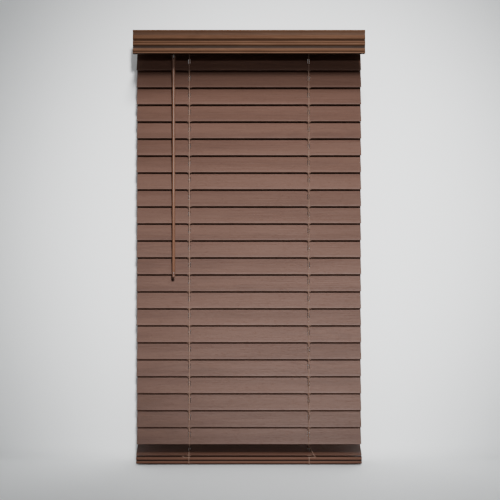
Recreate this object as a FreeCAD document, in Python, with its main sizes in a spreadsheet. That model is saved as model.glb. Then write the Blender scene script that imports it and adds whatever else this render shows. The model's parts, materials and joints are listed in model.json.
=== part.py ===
"""A cordless two-inch venetian blind with a moulded valance, closed with its slats' front edges down.

+X is to the right and the room is at -Y. Z = 0 is the top face of the mounting brackets, and X = 0 is
midway between them.
"""

import FreeCAD, Part
import math
import os
import re

import Sketcher

SLATS = 24
FIRST_LIFTED = 8  # slats above this one only tilt
FIRST_ON_RAIL = 23  # this slat and the last one travel with the bottom rail
GEAR_TEETH = 15
CLIP_PLACES = ("-clip_offset", "0", "clip_offset")

SIZES = {
    # slats
    "slat_length": 571.5,
    "slat_depth": 50.8,
    "slat_thick": 2.5,
    "slat_round": 1.0,
    "slat_pitch": 43.25,
    "closed_tilt": 70,
    "last_tilt": 25,
    "route_long": 16,
    "route_wide": 5.5,
    "ladder_offset": 152,
    # clearances down the blind
    "top_gap": 1.9,
    "last_gap": 3.6,
    "rest_gap": 1.7,
    "fit_gap": 0.4,
    "run_gap": 0.06,
    # headrail
    "head_length": 571.5,
    "head_depth": 56,
    "head_height": 40,
    "head_wall": 0.8,
    "head_lip": 6,
    "lip_turn": 3,
    "cap_wall": 1.2,
    "cap_plug": 9,
    # mounting brackets
    "bracket_wall": 1.5,
    "bracket_width": 46,
    "screw_radius": 2.25,
    "screw_inset": 20,
    "screw_spread": 28,
    "screw_rise": 20,
    "door_wall": 1.2,
    "door_tab": 9,
    # valance and its clips
    "valance_length": 584,
    "valance_height": 60.2,
    "valance_above": 2,
    "valance_thick": 12,
    "valance_stand": 8,
    "top_bead": 3.5,
    "groove_high": 4.5,
    "reed_high": 5,
    "lower_groove": 4,
    "lower_cove": 12.5,
    "quirk_high": 1.2,
    "foot_bead": 5.5,
    "reed_set": 1.8,
    "groove_set": 3.2,
    "clip_width": 16,
    "clip_wall": 1.6,
    "clip_offset": 225,
    # tilt works
    "rod_drop": 18.1,
    "rod_radius": 3.3,
    "rod_tail": 13,
    "rod_end": 20,
    "hub_radius": 5.5,
    "drum_radius": 14.25,
    "drum_width": 11,
    "flange_lift": 2,
    "flange_wall": 1.5,
    "cradle_wall": 2,
    "cradle_depth": 34,
    "ladder_slot": 46,
    "slot_width": 13,
    "tilter_gap": 15.6,
    "tilter_notch": 7,
    "tilter_width": 24,
    "tilter_wall": 2.5,
    "worm_lean": 30,
    "gear_module": 1.2,
    "gear_face": 7,
    "worm_radius": 4,
    "thread_turns": 4,
    "shaft_radius": 2.4,
    "eye_reach": 41.5,
    "eye_radius": 2.4,
    "wire_radius": 0.65,
    # wand
    "hook_loop": 3.2,
    "hook_shank": 9,
    "wand_radius": 3.6,
    "wand_length": 556,
    "wand_tip": 14,
    "wand_slot": 2.4,
    # lift works
    "motor_length": 132,
    "motor_depth": 46,
    "motor_wall": 1.2,
    "motor_high": 14,
    "spool_radius": 12,
    "spool_flange": 15,
    "spool_rim": 0.9,
    "coil_radius": 14,
    "coil_offset": 44,
    "coil_high": 4.5,
    # cords
    "cord_radius": 0.7,
    "string_radius": 0.6,
    "rung_radius": 0.5,
    "rung_spread": 4,
    "cord_level": 3.6,
    "cord_bend": 3.5,
    "string_bend": 18,
    # bottom rail
    "rail_depth": 50.8,
    "rail_height": 19.4,
    "rail_round": 4,
    "rail_groove": 4,
    "groove_depth": 2.4,
    "plug_radius": 6.8,
    "plug_flange": 9,
    "plug_deep": 9,
    "plug_wall": 1.5,
}

# heights and places that several pieces share, as formulas of the sizes above
HEAD_TOP = "(-bracket_wall - fit_gap)"
HEAD_BOTTOM = f"({HEAD_TOP} - head_height)"
HEAD_FLOOR = f"({HEAD_BOTTOM} + head_wall)"
ROD_Z = f"({HEAD_TOP} - rod_drop)"
CORD_Z = f"({HEAD_FLOOR} + cord_level)"
SLAT_RISE = "(slat_depth / 2 * sin(closed_tilt))"
FIRST_Z = (
    f"({HEAD_BOTTOM} - fit_gap - bracket_wall - top_gap - {SLAT_RISE}"
    " - slat_thick / 2 * cos(closed_tilt))"
)
LAST_RISE = "(slat_depth / 2 * sin(last_tilt))"
LAST_Z = f"({FIRST_Z} - {SLATS - 2} * slat_pitch - {SLAT_RISE} - {LAST_RISE} - last_gap)"
RAIL_TOP = f"({LAST_Z} - {LAST_RISE} - slat_thick / 2 - rest_gap)"
BRACKET_IN = "(head_length / 2 + cap_wall + fit_gap)"
BRACKET_Y = "(head_depth / 2 + fit_gap)"
SCREW_X = f"({BRACKET_IN} - screw_inset)"
TILTER_X = (
    "(ladder_offset + drum_width / 2 + fit_gap + cradle_wall"
    " + tilter_gap + tilter_wall + tilter_width / 2)"
)
VALANCE_BACK = "(-head_depth / 2 - valance_stand)"
EDGE_Y = "(slat_depth / 2 * cos(closed_tilt) + slat_thick / 2 * sin(closed_tilt))"
STRING_Y = f"({EDGE_Y} + string_radius + 0.75 * fit_gap)"
WORM_REACH = f"(gear_module * {GEAR_TEETH} / 2 + worm_radius)"

doc = FreeCAD.newDocument("VenetianBlind")
sheet = doc.addObject("Spreadsheet::Sheet", "Sizes")
parts = {}
known = {}  # formulas already worked out


def fill_sheet():
    """Write every driving size as text, with its name as the cell's alias."""
    for row, (name, value) in enumerate(SIZES.items(), start=1):
        sheet.set(f"A{row}", name)
        sheet.set(f"B{row}", str(value))
        sheet.setAlias(f"B{row}", name)
    doc.recompute()


def formula(text):
    """The text with each size's name pointing at the sheet."""
    return re.sub(r"[a-z]+(?:_[a-z]+)+", lambda found: "Sizes." + found.group(0), text)


def number(text):
    """What a formula of the sizes comes to now."""
    if text not in known:
        sheet.set("D1", "=" + text)
        sheet.recompute()
        known[text] = float(sheet.get("D1"))
    return known[text]


def point(x, y, z):
    return FreeCAD.Vector(number(x), number(y), number(z))


def bind(thing, **properties):
    for name, text in properties.items():
        thing.setExpression(name, formula(text))
    return thing


def place(thing, x="0", y="0", z="0"):
    for name, text in (("x", x), ("y", y), ("z", z)):
        thing.setExpression(f".Placement.Base.{name}", formula(text))
    return thing


def box(name, size, corner):
    thing = doc.addObject("Part::Box", name)
    bind(thing, Length=size[0], Width=size[1], Height=size[2])
    return place(thing, *corner)


AXES = {
    "X": FreeCAD.Rotation(FreeCAD.Vector(0, 1, 0), 90),
    "Y": FreeCAD.Rotation(FreeCAD.Vector(1, 0, 0), -90),
    "Z": FreeCAD.Rotation(),
}


def cylinder(name, radius, length, start, axis="Z"):
    """A cylinder that runs from start along +axis."""
    thing = doc.addObject("Part::Cylinder", name)
    bind(thing, Radius=radius, Height=length)
    thing.Placement.Rotation = AXES[axis]
    return place(thing, *start)


def ring(name, mean, wire, centre, axis="Z"):
    thing = doc.addObject("Part::Torus", name)
    bind(thing, Radius1=mean, Radius2=wire)
    thing.Placement.Rotation = AXES[axis]
    return place(thing, *centre)


def fuse(name, *pieces):
    thing = doc.addObject("Part::MultiFuse", name)
    thing.Shapes = list(pieces)
    return thing


def cut(name, base, *tools):
    thing = doc.addObject("Part::Cut", name)
    thing.Base = base
    thing.Tool = tools[0] if len(tools) == 1 else fuse(name + "_tools", *tools)
    return thing


def mirror(name, source):
    """The source's twin on the other side of X = 0."""
    thing = doc.addObject("Part::Mirroring", name)
    thing.Source = source
    thing.Normal = FreeCAD.Vector(1, 0, 0)
    return thing


def group(name, *pieces):
    thing = doc.addObject("Part::Compound", name)
    thing.Links = list(pieces)
    return thing


def keep(label, thing):
    """Take this object as the finished sub-part of that name."""
    thing.Label = label
    parts[label] = thing
    return thing


# ---- sketches -------------------------------------------------------------------------------------


def new_body(name):
    return doc.addObject("PartDesign::Body", name)


def new_sketch(body, role, name):
    sketch = body.newObject("Sketcher::SketchObject", name)
    plane = next(f for f in body.Origin.OriginFeatures if f.Role == role)
    sketch.AttachmentSupport = [(plane, "")]
    sketch.MapMode = "FlatFace"
    return sketch


def fix(sketch, kind, *args, text):
    """Add one dimension and bind it to a formula."""
    sketch.addConstraint(Sketcher.Constraint(kind, *args, number(text)))
    sketch.setExpression(f"Constraints[{sketch.ConstraintCount - 1}]", formula(text))


def arc_between(start, end, radius, swell):
    """The short arc between two points, and whether it runs backwards.

    With swell it bulges to the right of the path, so it stands out on an anticlockwise outline.
    """
    chord = end - start
    middle = (start + end) * 0.5
    side = FreeCAD.Vector(-chord.y, chord.x, 0).normalize()
    away = math.sqrt(max(radius**2 - (chord.Length / 2) ** 2, 0))
    centre = middle + side * (away if swell else -away)
    circle = Part.Circle(centre, FreeCAD.Vector(0, 0, 1), radius)
    first = math.atan2(start.y - centre.y, start.x - centre.x)
    last = math.atan2(end.y - centre.y, end.x - centre.x)
    if swell:
        return Part.ArcOfCircle(circle, first, last), False
    return Part.ArcOfCircle(circle, last, first), True


def outline(sketch, corners):
    """A closed outline of (u, v) corners. With (u, v, radius, swell), an arc runs on to the next corner."""
    spots = [FreeCAD.Vector(number(c[0]), number(c[1]), 0) for c in corners]
    first = sketch.GeometryCount
    ends = []
    for index, corner in enumerate(corners):
        start, end = spots[index], spots[(index + 1) % len(spots)]
        backwards = False
        if len(corner) == 4:
            edge, backwards = arc_between(start, end, number(corner[2]), corner[3])
        else:
            edge = Part.LineSegment(start, end)
        ends.append((2, 1) if backwards else (1, 2))
        sketch.addGeometry(edge)
    for index, corner in enumerate(corners):
        follower = (index + 1) % len(corners)
        sketch.addConstraint(
            Sketcher.Constraint(
                "Coincident", first + index, ends[index][1], first + follower, ends[follower][0]
            )
        )
        fix(sketch, "DistanceX", -1, 1, first + index, ends[index][0], text=corner[0])
        fix(sketch, "DistanceY", -1, 1, first + index, ends[index][0], text=corner[1])
        if len(corner) == 4:
            fix(sketch, "Radius", first + index, text=corner[2])


def rectangle(sketch, low_u, low_v, high_u, high_v):
    outline(sketch, [(low_u, low_v), (high_u, low_v), (high_u, high_v), (low_u, high_v)])


def slot(sketch, u, half_run, radius):
    """A round-ended slot that runs along v across v = 0, centred on u."""
    across, run, wide = number(u), number(f"{half_run} - {radius}"), number(radius)
    first = sketch.GeometryCount
    up = FreeCAD.Vector(0, 0, 1)
    upper = Part.Circle(FreeCAD.Vector(across, run, 0), up, wide)
    lower = Part.Circle(FreeCAD.Vector(across, -run, 0), up, wide)
    sketch.addGeometry(Part.ArcOfCircle(upper, 0, math.pi))
    sketch.addGeometry(Part.ArcOfCircle(lower, math.pi, 2 * math.pi))
    for side in (-wide, wide):
        ends = [FreeCAD.Vector(across + side, end, 0) for end in (run, -run)]
        sketch.addGeometry(Part.LineSegment(*ends))
    for line, arc_end in ((first + 2, 2), (first + 3, 1)):
        sketch.addConstraint(Sketcher.Constraint("Coincident", line, 1, first, arc_end))
        sketch.addConstraint(Sketcher.Constraint("Coincident", line, 2, first + 1, 3 - arc_end))
    for arc, sign in ((first, ""), (first + 1, "-")):
        level = f"{sign}({half_run} - {radius})"
        fix(sketch, "DistanceX", -1, 1, arc, 3, text=u)
        for spot in (3, 1, 2):
            fix(sketch, "DistanceY", -1, 1, arc, spot, text=level)
        fix(sketch, "Radius", arc, text=radius)


def circle(sketch, u, v, radius):
    index = sketch.GeometryCount
    centre = FreeCAD.Vector(number(u), number(v), 0)
    sketch.addGeometry(Part.Circle(centre, FreeCAD.Vector(0, 0, 1), number(radius)))
    fix(sketch, "DistanceX", -1, 1, index, 3, text=u)
    fix(sketch, "DistanceY", -1, 1, index, 3, text=v)
    fix(sketch, "Radius", index, text=radius)


def pad(body, sketch, length, name="Pad", midplane=True):
    feature = body.newObject("PartDesign::Pad", name)
    feature.Profile = sketch
    feature.Midplane = midplane
    return bind(feature, Length=length)


def pocket(body, sketch, name="Pocket", both=True, reverse=False):
    """Cut right through, and stop if the cut takes nothing away."""
    doc.recompute([body])
    before = body.Shape.Volume
    feature = body.newObject("PartDesign::Pocket", name)
    feature.Profile = sketch
    feature.Type = 1
    feature.Midplane = both
    feature.Reversed = reverse
    doc.recompute([body])
    if body.Shape.Volume > before - 1e-3:
        raise RuntimeError(f"{body.Label}: {name} cuts nothing")
    return feature


# ---- headrail, its end caps and its brackets -------------------------------------------------------


def build_headrail():
    body = new_body("Headrail")
    section = new_sketch(body, "YZ_Plane", "HeadrailSection")
    out_y, in_y = "(head_depth / 2)", "(head_depth / 2 - head_wall)"
    lip_y, lip_in = "(head_depth / 2 - head_lip)", "(head_depth / 2 - head_lip + head_wall)"
    under_lip = f"({HEAD_TOP} - head_wall)"
    turn = f"({HEAD_TOP} - lip_turn)"
    right = [
        (out_y, HEAD_BOTTOM),
        (out_y, HEAD_TOP),
        (lip_y, HEAD_TOP),
        (lip_y, turn),
        (lip_in, turn),
        (lip_in, under_lip),
        (in_y, under_lip),
        (in_y, HEAD_FLOOR),
    ]
    left = [(f"(-{y})", z) for y, z in reversed(right)]
    outline(section, right + left)
    pad(body, section, "head_length")
    floor = new_sketch(body, "XY_Plane", "LadderSlots")
    for side in ("-", ""):
        x = f"({side}ladder_offset)"
        rectangle(
            floor,
            f"({x} - slot_width / 2)",
            "(-ladder_slot / 2)",
            f"({x} + slot_width / 2)",
            "(ladder_slot / 2)",
        )
    pocket(body, floor, "LadderCut")
    corner = new_sketch(body, "XZ_Plane", "TilterNotch")
    rectangle(
        corner,
        f"(-{TILTER_X} - tilter_notch)",
        f"({HEAD_BOTTOM} - 2)",
        f"(-{TILTER_X} + tilter_notch)",
        f"({ROD_Z} - tilter_notch)",
    )
    pocket(body, corner, "TilterCut", both=False, reverse=True)
    keep("headrail", body)


def build_end_caps():
    depth, high = "head_depth", "head_height"
    flange = box(
        "CapFlange", ("cap_wall", depth, high), ("head_length / 2", "-head_depth / 2", HEAD_BOTTOM)
    )
    plug_in = "(head_wall + fit_gap)"
    plug = box(
        "CapPlug",
        ("cap_plug", f"{depth} - 2 * {plug_in}", f"{high} - 2 * {plug_in} - lip_turn"),
        ("head_length / 2 - cap_plug", f"-head_depth / 2 + {plug_in}", f"{HEAD_BOTTOM} + {plug_in}"),
    )
    hollow = box(
        "CapHollow",
        (
            "cap_plug + 1",
            f"{depth} - 2 * {plug_in} - 2 * cap_wall",
            f"{high} - 2 * {plug_in} - lip_turn - 2 * cap_wall",
        ),
        (
            "head_length / 2 - cap_plug - 1",
            f"-head_depth / 2 + {plug_in} + cap_wall",
            f"{HEAD_BOTTOM} + {plug_in} + cap_wall",
        ),
    )
    right = cut("CapRight", fuse("CapSolid", flange, plug), hollow)
    keep("end_caps", group("EndCaps", right, mirror("CapLeft", right)))


def build_brackets():
    inside_low = f"({HEAD_BOTTOM} - fit_gap)"
    depth = f"(2 * {BRACKET_Y} + bracket_wall)"
    height = "(2 * bracket_wall + head_height + 2 * fit_gap)"
    shell = box(
        "BracketBlock",
        ("bracket_width", depth, height),
        (f"{BRACKET_IN} + bracket_wall - bracket_width", f"-{BRACKET_Y}", f"{inside_low} - bracket_wall"),
    )
    space = box(
        "BracketSpace",
        ("bracket_width", depth, "head_height + 2 * fit_gap"),
        (f"{BRACKET_IN} - bracket_width", f"-{BRACKET_Y} - bracket_wall", inside_low),
    )
    tools = [space]
    middle_z = f"({HEAD_BOTTOM} + head_height / 2)"
    through = "3 * bracket_wall"
    back, end = f"{BRACKET_Y} - bracket_wall", f"{BRACKET_IN} - bracket_wall"
    for side in ("-", ""):
        across = f"{side}screw_spread / 2"
        upright = f"{middle_z} {side or '+'} screw_rise / 2"
        tools += [
            cylinder("TopHole", "screw_radius", through, (SCREW_X, across, f"-({through})")),
            cylinder("BackHole", "screw_radius", through, (SCREW_X, back, upright), "Y"),
            cylinder("EndHole", "screw_radius", through, (end, across, middle_z), "X"),
        ]
    right = cut("BracketRight", shell, *tools)
    keep("mounting_brackets", group("Brackets", right, mirror("BracketLeft", right)))


def build_bracket_doors():
    front = f"(-{BRACKET_Y} - door_wall)"
    low = f"({HEAD_BOTTOM} + door_wall)"
    outer_x = f"({BRACKET_IN} + bracket_wall)"
    plate = box(
        "DoorPlate",
        ("bracket_width", "door_wall", "head_height - 2 * door_wall"),
        (f"{outer_x} - bracket_width", front, low),
    )
    barrel = cylinder(
        "DoorBarrel",
        "door_wall",
        "head_height - 2 * door_wall",
        (f"{outer_x} - door_wall", front, low),
    )
    tab = box(
        "DoorTab",
        ("door_tab", "2 * door_wall", "2 * door_wall"),
        (f"{outer_x} - bracket_width + door_wall", f"{front} - door_wall", f"{low} + head_height / 2"),
    )
    ledge = box(
        "DoorLedge",
        ("bracket_width - 3 * bracket_wall", "0.5 * fit_gap + door_wall", "door_wall"),
        (f"{outer_x} - bracket_width + bracket_wall", f"{front} + door_wall - 0.5 * fit_gap", low),
    )
    trim = box(
        "DoorTrim",
        ("bracket_width", "head_depth", "head_height"),
        (f"{outer_x} - bracket_width", f"-{BRACKET_Y} + 0.75 * fit_gap", HEAD_BOTTOM),
    )
    right = cut("DoorRight", fuse("DoorSolid", plate, barrel, tab, ledge), trim)
    keep("bracket_doors", group("BracketDoors", right, mirror("DoorLeft", right)))


# ---- valance ---------------------------------------------------------------------------------------


def build_valance():
    """A moulding with a bead, a cove, two reeds between grooves, a second cove and a foot bead."""
    body = new_body("Valance")
    section = new_sketch(body, "YZ_Plane", "ValanceSection")
    front = f"({VALANCE_BACK} - valance_thick)"
    top, bottom = "valance_above", "(valance_above - valance_height)"
    bead_end = f"({top} - top_bead)"
    foot = f"({bottom} + foot_bead)"
    quirk = f"({foot} + quirk_high)"
    cove_low = f"({quirk} + lower_cove)"
    reed_low = f"({cove_low} + lower_groove)"
    reed_mid = f"({reed_low} + reed_high)"
    reed_top = f"({reed_mid} + reed_high)"
    groove_top = f"({reed_top} + groove_high)"
    reed_y = f"({front} + reed_set)"
    groove_y = f"({front} + groove_set)"
    upper = f"({bead_end} - {groove_top})"
    corners = [
        (VALANCE_BACK, bottom),
        (VALANCE_BACK, top),
        (f"({front} + top_bead / 2)", top, "top_bead * 0.55", True),
        (f"({front} + top_bead / 3)", bead_end, f"{upper} * 0.85", False),
        (front, groove_top),
        (groove_y, f"({reed_top} + groove_high / 2.5)"),
        (reed_y, reed_top, "reed_high * 0.54", True),
        (reed_y, reed_mid, "reed_high * 0.54", True),
        (reed_y, reed_low),
        (groove_y, f"({cove_low} + lower_groove / 2)"),
        (groove_y, cove_low, "lower_cove * 0.95", False),
        (front, quirk),
        (reed_y, foot, "foot_bead * 0.56", True),
        (f"({front} + top_bead)", bottom),
    ]
    outline(section, corners)
    pad(body, section, "valance_length")
    keep("valance", body)


def build_valance_clips():
    """Plastic clips that hook over the headrail and reach forward to the back of the valance."""
    head_y = "(-head_depth / 2 - fit_gap / 2)"
    leg_y = f"({head_y} - clip_wall)"
    top = f"({HEAD_TOP} + fit_gap / 4)"
    low = f"({HEAD_BOTTOM} - fit_gap / 4)"
    reach = f"({VALANCE_BACK} + fit_gap / 4)"
    hook_y = "(-head_depth / 2 + head_lip - clip_wall)"
    foot_y = "(-head_depth / 2 + head_lip / 2)"
    arm = "clip_wall"
    arm_z = f"({HEAD_BOTTOM} + head_height * 0.3)"
    pieces = []
    for index, place_x in enumerate(CLIP_PLACES):
        body = new_body(f"Clip{index}")
        section = new_sketch(body, "YZ_Plane", f"ClipSection{index}")
        outline(
            section,
            [
                (foot_y, f"({low} - clip_wall * 0.6)"),
                (foot_y, low),
                (head_y, low),
                (head_y, top),
                (hook_y, top),
                (hook_y, f"({top} + clip_wall * 0.8)"),
                (reach, f"({top} + clip_wall * 0.8)"),
                (reach, f"({top} + clip_wall * 0.8 - {arm})"),
                (leg_y, f"({top} + clip_wall * 0.8 - {arm})"),
                (leg_y, f"({arm_z} + {arm})"),
                (reach, f"({arm_z} + {arm})"),
                (reach, arm_z),
                (leg_y, arm_z),
                (leg_y, f"({low} - clip_wall * 0.6)"),
            ],
        )
        pad(body, section, "clip_width")
        pieces.append(place(body, x=place_x))
    keep("valance_clips", group("ValanceClips", *pieces))


# ---- tilt works ------------------------------------------------------------------------------------


def hexagon(name, radius, length, start):
    """A six-sided bar along X."""
    thing = doc.addObject("Part::Prism", name)
    thing.Polygon = 6
    bind(thing, Circumradius=radius, Height=length)
    thing.Placement.Rotation = AXES["X"]
    return place(thing, *start)


def build_tilt_rod():
    """A bar from just past the tilter to just past the right-hand drum."""
    length = f"{TILTER_X} + rod_tail + ladder_offset + rod_end"
    keep("tilt_rod", hexagon("TiltRod", "rod_radius", length, (f"-{TILTER_X} - rod_tail", "0", ROD_Z)))


def build_worm_gear():
    body = new_body("WormGear")
    pitch = f"(gear_module * {GEAR_TEETH} / 2)"
    root, tip = f"({pitch} - gear_module * 1.05)", f"({pitch} + gear_module * 0.8)"
    disc = new_sketch(body, "YZ_Plane", "GearDisc")
    circle(disc, "0", "0", root)
    circle(disc, "0", "0", "(rod_radius + run_gap)")
    pad(body, disc, "gear_face", "Disc")
    tooth = new_sketch(body, "YZ_Plane", "GearTooth")
    outline(
        tooth,
        [
            ("(-gear_module * 0.72)", f"({root} - 1)"),
            ("(gear_module * 0.72)", f"({root} - 1)"),
            ("(gear_module * 0.72)", root),
            ("(gear_module * 0.3)", tip),
            ("(-gear_module * 0.3)", tip),
            ("(-gear_module * 0.72)", root),
        ],
    )
    first_tooth = pad(body, tooth, "gear_face", "Tooth")
    doc.recompute([body])
    ring_of_teeth = body.newObject("PartDesign::PolarPattern", "Teeth")
    ring_of_teeth.Originals = [first_tooth]
    ring_of_teeth.Axis = (next(f for f in body.Origin.OriginFeatures if f.Role == "X_Axis"), [""])
    ring_of_teeth.Angle = 360
    ring_of_teeth.Occurrences = GEAR_TEETH
    body.Tip = ring_of_teeth
    hubs = new_sketch(body, "YZ_Plane", "GearHub")
    circle(hubs, "0", "0", "hub_radius")
    circle(hubs, "0", "0", "(rod_radius + run_gap)")
    pad(body, hubs, "tilter_width - 2 * fit_gap", "Hub")
    # a quarter of a tooth past the worm's axis, which centres a tooth between two turns of the thread
    body.Placement.Rotation = FreeCAD.Rotation(FreeCAD.Vector(1, 0, 0), 1)
    phase = f"90 - worm_lean + 90 / {GEAR_TEETH}"
    body.setExpression(".Placement.Rotation.Angle", formula(phase))
    place(body, x=f"-{TILTER_X}", z=ROD_Z)
    keep("worm_gear", body)


def worm_frame():
    """The foot of the worm's axis beside the gear, and its direction down to the eye."""
    lean = math.radians(number("worm_lean"))
    along = FreeCAD.Vector(0, -math.sin(lean), -math.cos(lean))
    off = FreeCAD.Vector(0, -math.cos(lean), math.sin(lean))
    foot = point(f"-{TILTER_X}", "0", ROD_Z) + off * number(WORM_REACH)
    return foot, along


def build_tilter_worm():
    foot, along = worm_frame()
    lead = math.pi * number("gear_module")
    radius = number("worm_radius")
    core = radius - 1.3 * number("gear_module")
    crest = radius + 0.75 * number("gear_module")
    turns = number("thread_turns")
    half = lead * turns / 2
    helix = Part.makeHelix(lead, 2 * half, core)
    edge = Part.Wire(helix.Edges)
    thick_foot, thick_crest = lead * 0.2, lead * 0.1
    sunk = core - 0.25
    section = Part.makePolygon(
        [
            FreeCAD.Vector(sunk, 0, -thick_foot),
            FreeCAD.Vector(crest, 0, -thick_crest),
            FreeCAD.Vector(crest, 0, thick_crest),
            FreeCAD.Vector(sunk, 0, thick_foot),
            FreeCAD.Vector(sunk, 0, -thick_foot),
        ]
    )
    thread = edge.makePipeShell([section], True, True)
    if thread.Volume < 0:
        thread.reverse()
    reach = number("eye_reach")
    eye = number("eye_radius")
    wire = number("wire_radius")
    thread.translate(FreeCAD.Vector(0, 0, -half))
    journal = number("shaft_radius")
    head = half + number("tilter_wall")
    core_bar = Part.makeCylinder(core, 2 * half + lead, FreeCAD.Vector(0, 0, -half - lead / 2))
    top_journal = Part.makeCylinder(journal * 0.8, head, FreeCAD.Vector(0, 0, -head - lead / 2))
    neck = Part.makeCylinder(journal, reach - eye - half, FreeCAD.Vector(0, 0, half))
    loop = Part.makeTorus(eye, wire, FreeCAD.Vector(0, 0, reach), FreeCAD.Vector(1, 0, 0))
    worm = core_bar.multiFuse([thread, top_journal, neck, loop])
    feature = doc.addObject("Part::Feature", "TilterWorm")
    feature.Shape = worm
    feature.Placement = FreeCAD.Placement(
        foot, FreeCAD.Rotation(FreeCAD.Vector(1, 0, 0), FreeCAD.Vector(), along, "ZXY")
    )
    keep("tilter_worm", feature)


def build_tilter_housing():
    """A moulded block on the headrail's floor with a well for the gear and a sloping bore for the worm."""
    foot, along = worm_frame()
    half_depth = "(head_depth / 2 - head_wall - fit_gap)"
    low = f"({HEAD_FLOOR} + fit_gap / 4)"
    top = f"({ROD_Z} + gear_module * {GEAR_TEETH} / 2 + 4)"
    block = box(
        "TilterBlock",
        ("tilter_width + 2 * tilter_wall", f"2 * {half_depth}", f"{top} - {low}"),
        (f"-{TILTER_X} - tilter_width / 2 - tilter_wall", f"-{half_depth}", low),
    )
    well = cylinder(
        "GearWell",
        f"gear_module * ({GEAR_TEETH} / 2 + 1) + fit_gap",
        "gear_face + 4 * fit_gap",
        (f"-{TILTER_X} - gear_face / 2 - 2 * fit_gap", "0", ROD_Z),
        "X",
    )
    bearing = cylinder(
        "GearBearing",
        "hub_radius + run_gap",
        "tilter_width + 4 * tilter_wall",
        (f"-{TILTER_X} - tilter_width / 2 - 2 * tilter_wall", "0", ROD_Z),
        "X",
    )
    saving = box(
        "TilterSaving",
        ("tilter_width + 4 * tilter_wall", "head_depth / 2", "head_height"),
        (f"-{TILTER_X} - tilter_width / 2 - 2 * tilter_wall", "hub_radius + 8", f"{low} + tilter_wall"),
    )
    bore = doc.addObject("Part::Cylinder", "WormBore")
    bind(bore, Radius="worm_radius + gear_module * 0.75 + fit_gap", Height="head_depth * 2")
    start = foot - along * (number("head_height"))
    bore.Placement = FreeCAD.Placement(start, FreeCAD.Rotation(FreeCAD.Vector(0, 0, 1), along))
    keep("tilter_housing", cut("TilterHousing", block, well, bearing, saving, bore))


def build_ladder_drums():
    drums = []
    for name, side in (("Left", "-"), ("Right", "")):
        x = f"({side}ladder_offset)"
        start = (f"{x} - drum_width / 2", "0", ROD_Z)
        barrel = cylinder(f"Drum{name}", "drum_radius", "drum_width", start, "X")
        rims = [
            cylinder(
                f"Rim{name}{index}",
                "drum_radius + flange_lift",
                "flange_wall",
                (f"{x} {sign} (drum_width - flange_wall) / 2 - flange_wall / 2", "0", ROD_Z),
                "X",
            )
            for index, sign in enumerate("-+")
        ]
        hub = cylinder(
            f"Hub{name}",
            "hub_radius",
            "drum_width + 2 * (cradle_wall + 2 * fit_gap)",
            (f"{x} - drum_width / 2 - cradle_wall - 2 * fit_gap", "0", ROD_Z),
            "X",
        )
        bore = hexagon(
            f"Bore{name}",
            "rod_radius + run_gap",
            "3 * drum_width",
            (f"{x} - 1.5 * drum_width", "0", ROD_Z),
        )
        drums.append(cut(f"LadderDrum{name}", fuse(f"DrumSolid{name}", barrel, *rims, hub), bore))
    keep("ladder_drums", group("LadderDrums", *drums))


def build_drum_cradles():
    """Two cheeks on a slotted base carry each drum, and a window lets the lift cord in to its slot."""
    x_in = "(drum_width / 2 + fit_gap)"
    base_low = f"({HEAD_FLOOR} + fit_gap / 4)"
    base = box(
        "CradleBase",
        (f"2 * ({x_in} + cradle_wall)", "ladder_slot + 4 * cradle_wall", "cradle_wall * 0.75"),
        (f"ladder_offset - {x_in} - cradle_wall", "-ladder_slot / 2 - 2 * cradle_wall", base_low),
    )
    cheeks = [
        box(
            f"Cheek{index}",
            ("cradle_wall", "cradle_depth", f"{ROD_Z} + hub_radius + cradle_wall - {base_low}"),
            (start, "-cradle_depth / 2", base_low),
        )
        for index, start in enumerate((f"ladder_offset - {x_in} - cradle_wall", f"ladder_offset + {x_in}"))
    ]
    opening = box(
        "CradleSlot",
        ("slot_width - cradle_wall", "ladder_slot", "4 * cradle_wall"),
        ("ladder_offset - (slot_width - cradle_wall) / 2", "-ladder_slot / 2", f"{base_low} - cradle_wall"),
    )
    bearing = cylinder(
        "CradleBearing",
        "hub_radius + run_gap",
        "3 * drum_width",
        ("ladder_offset - 1.5 * drum_width", "0", ROD_Z),
        "X",
    )
    window = cylinder(
        "CordWindow",
        "3 * cord_radius",
        "3 * drum_width",
        ("ladder_offset - 1.5 * drum_width", "0", CORD_Z),
        "X",
    )
    right = cut("CradleRight", fuse("CradleSolid", base, *cheeks), opening, bearing, window)
    keep("drum_cradles", group("DrumCradles", right, mirror("CradleLeft", right)))


def hook_places():
    """The eye's centre and the heights of the hook's two loops."""
    foot, along = worm_frame()
    eye = foot + along * number("eye_reach")
    return eye, eye.z - number("hook_loop"), eye.z - 2 * number("hook_loop") - number("hook_shank")


def build_wand_hook():
    """A bent wire: the upper loop hangs in the worm's eye and the lower one takes the wand's pin."""
    eye, upper_z, lower_z = hook_places()
    loop, wire = number("hook_loop"), number("wire_radius")
    small = 2 * wire + number("run_gap")
    upper = Part.makeTorus(loop, wire, FreeCAD.Vector(eye.x, eye.y, upper_z), FreeCAD.Vector(0, 1, 0))
    lower = Part.makeTorus(small, wire, FreeCAD.Vector(eye.x, eye.y, lower_z), FreeCAD.Vector(1, 0, 0))
    shank = Part.makeCylinder(
        1.5 * wire,
        upper_z - loop - (lower_z + small),
        FreeCAD.Vector(eye.x, eye.y, lower_z + small),
    )
    feature = doc.addObject("Part::Feature", "WandHook")
    feature.Shape = upper.fuse(shank).fuse(lower).removeSplitter()
    keep("wand_hook", feature)


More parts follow.
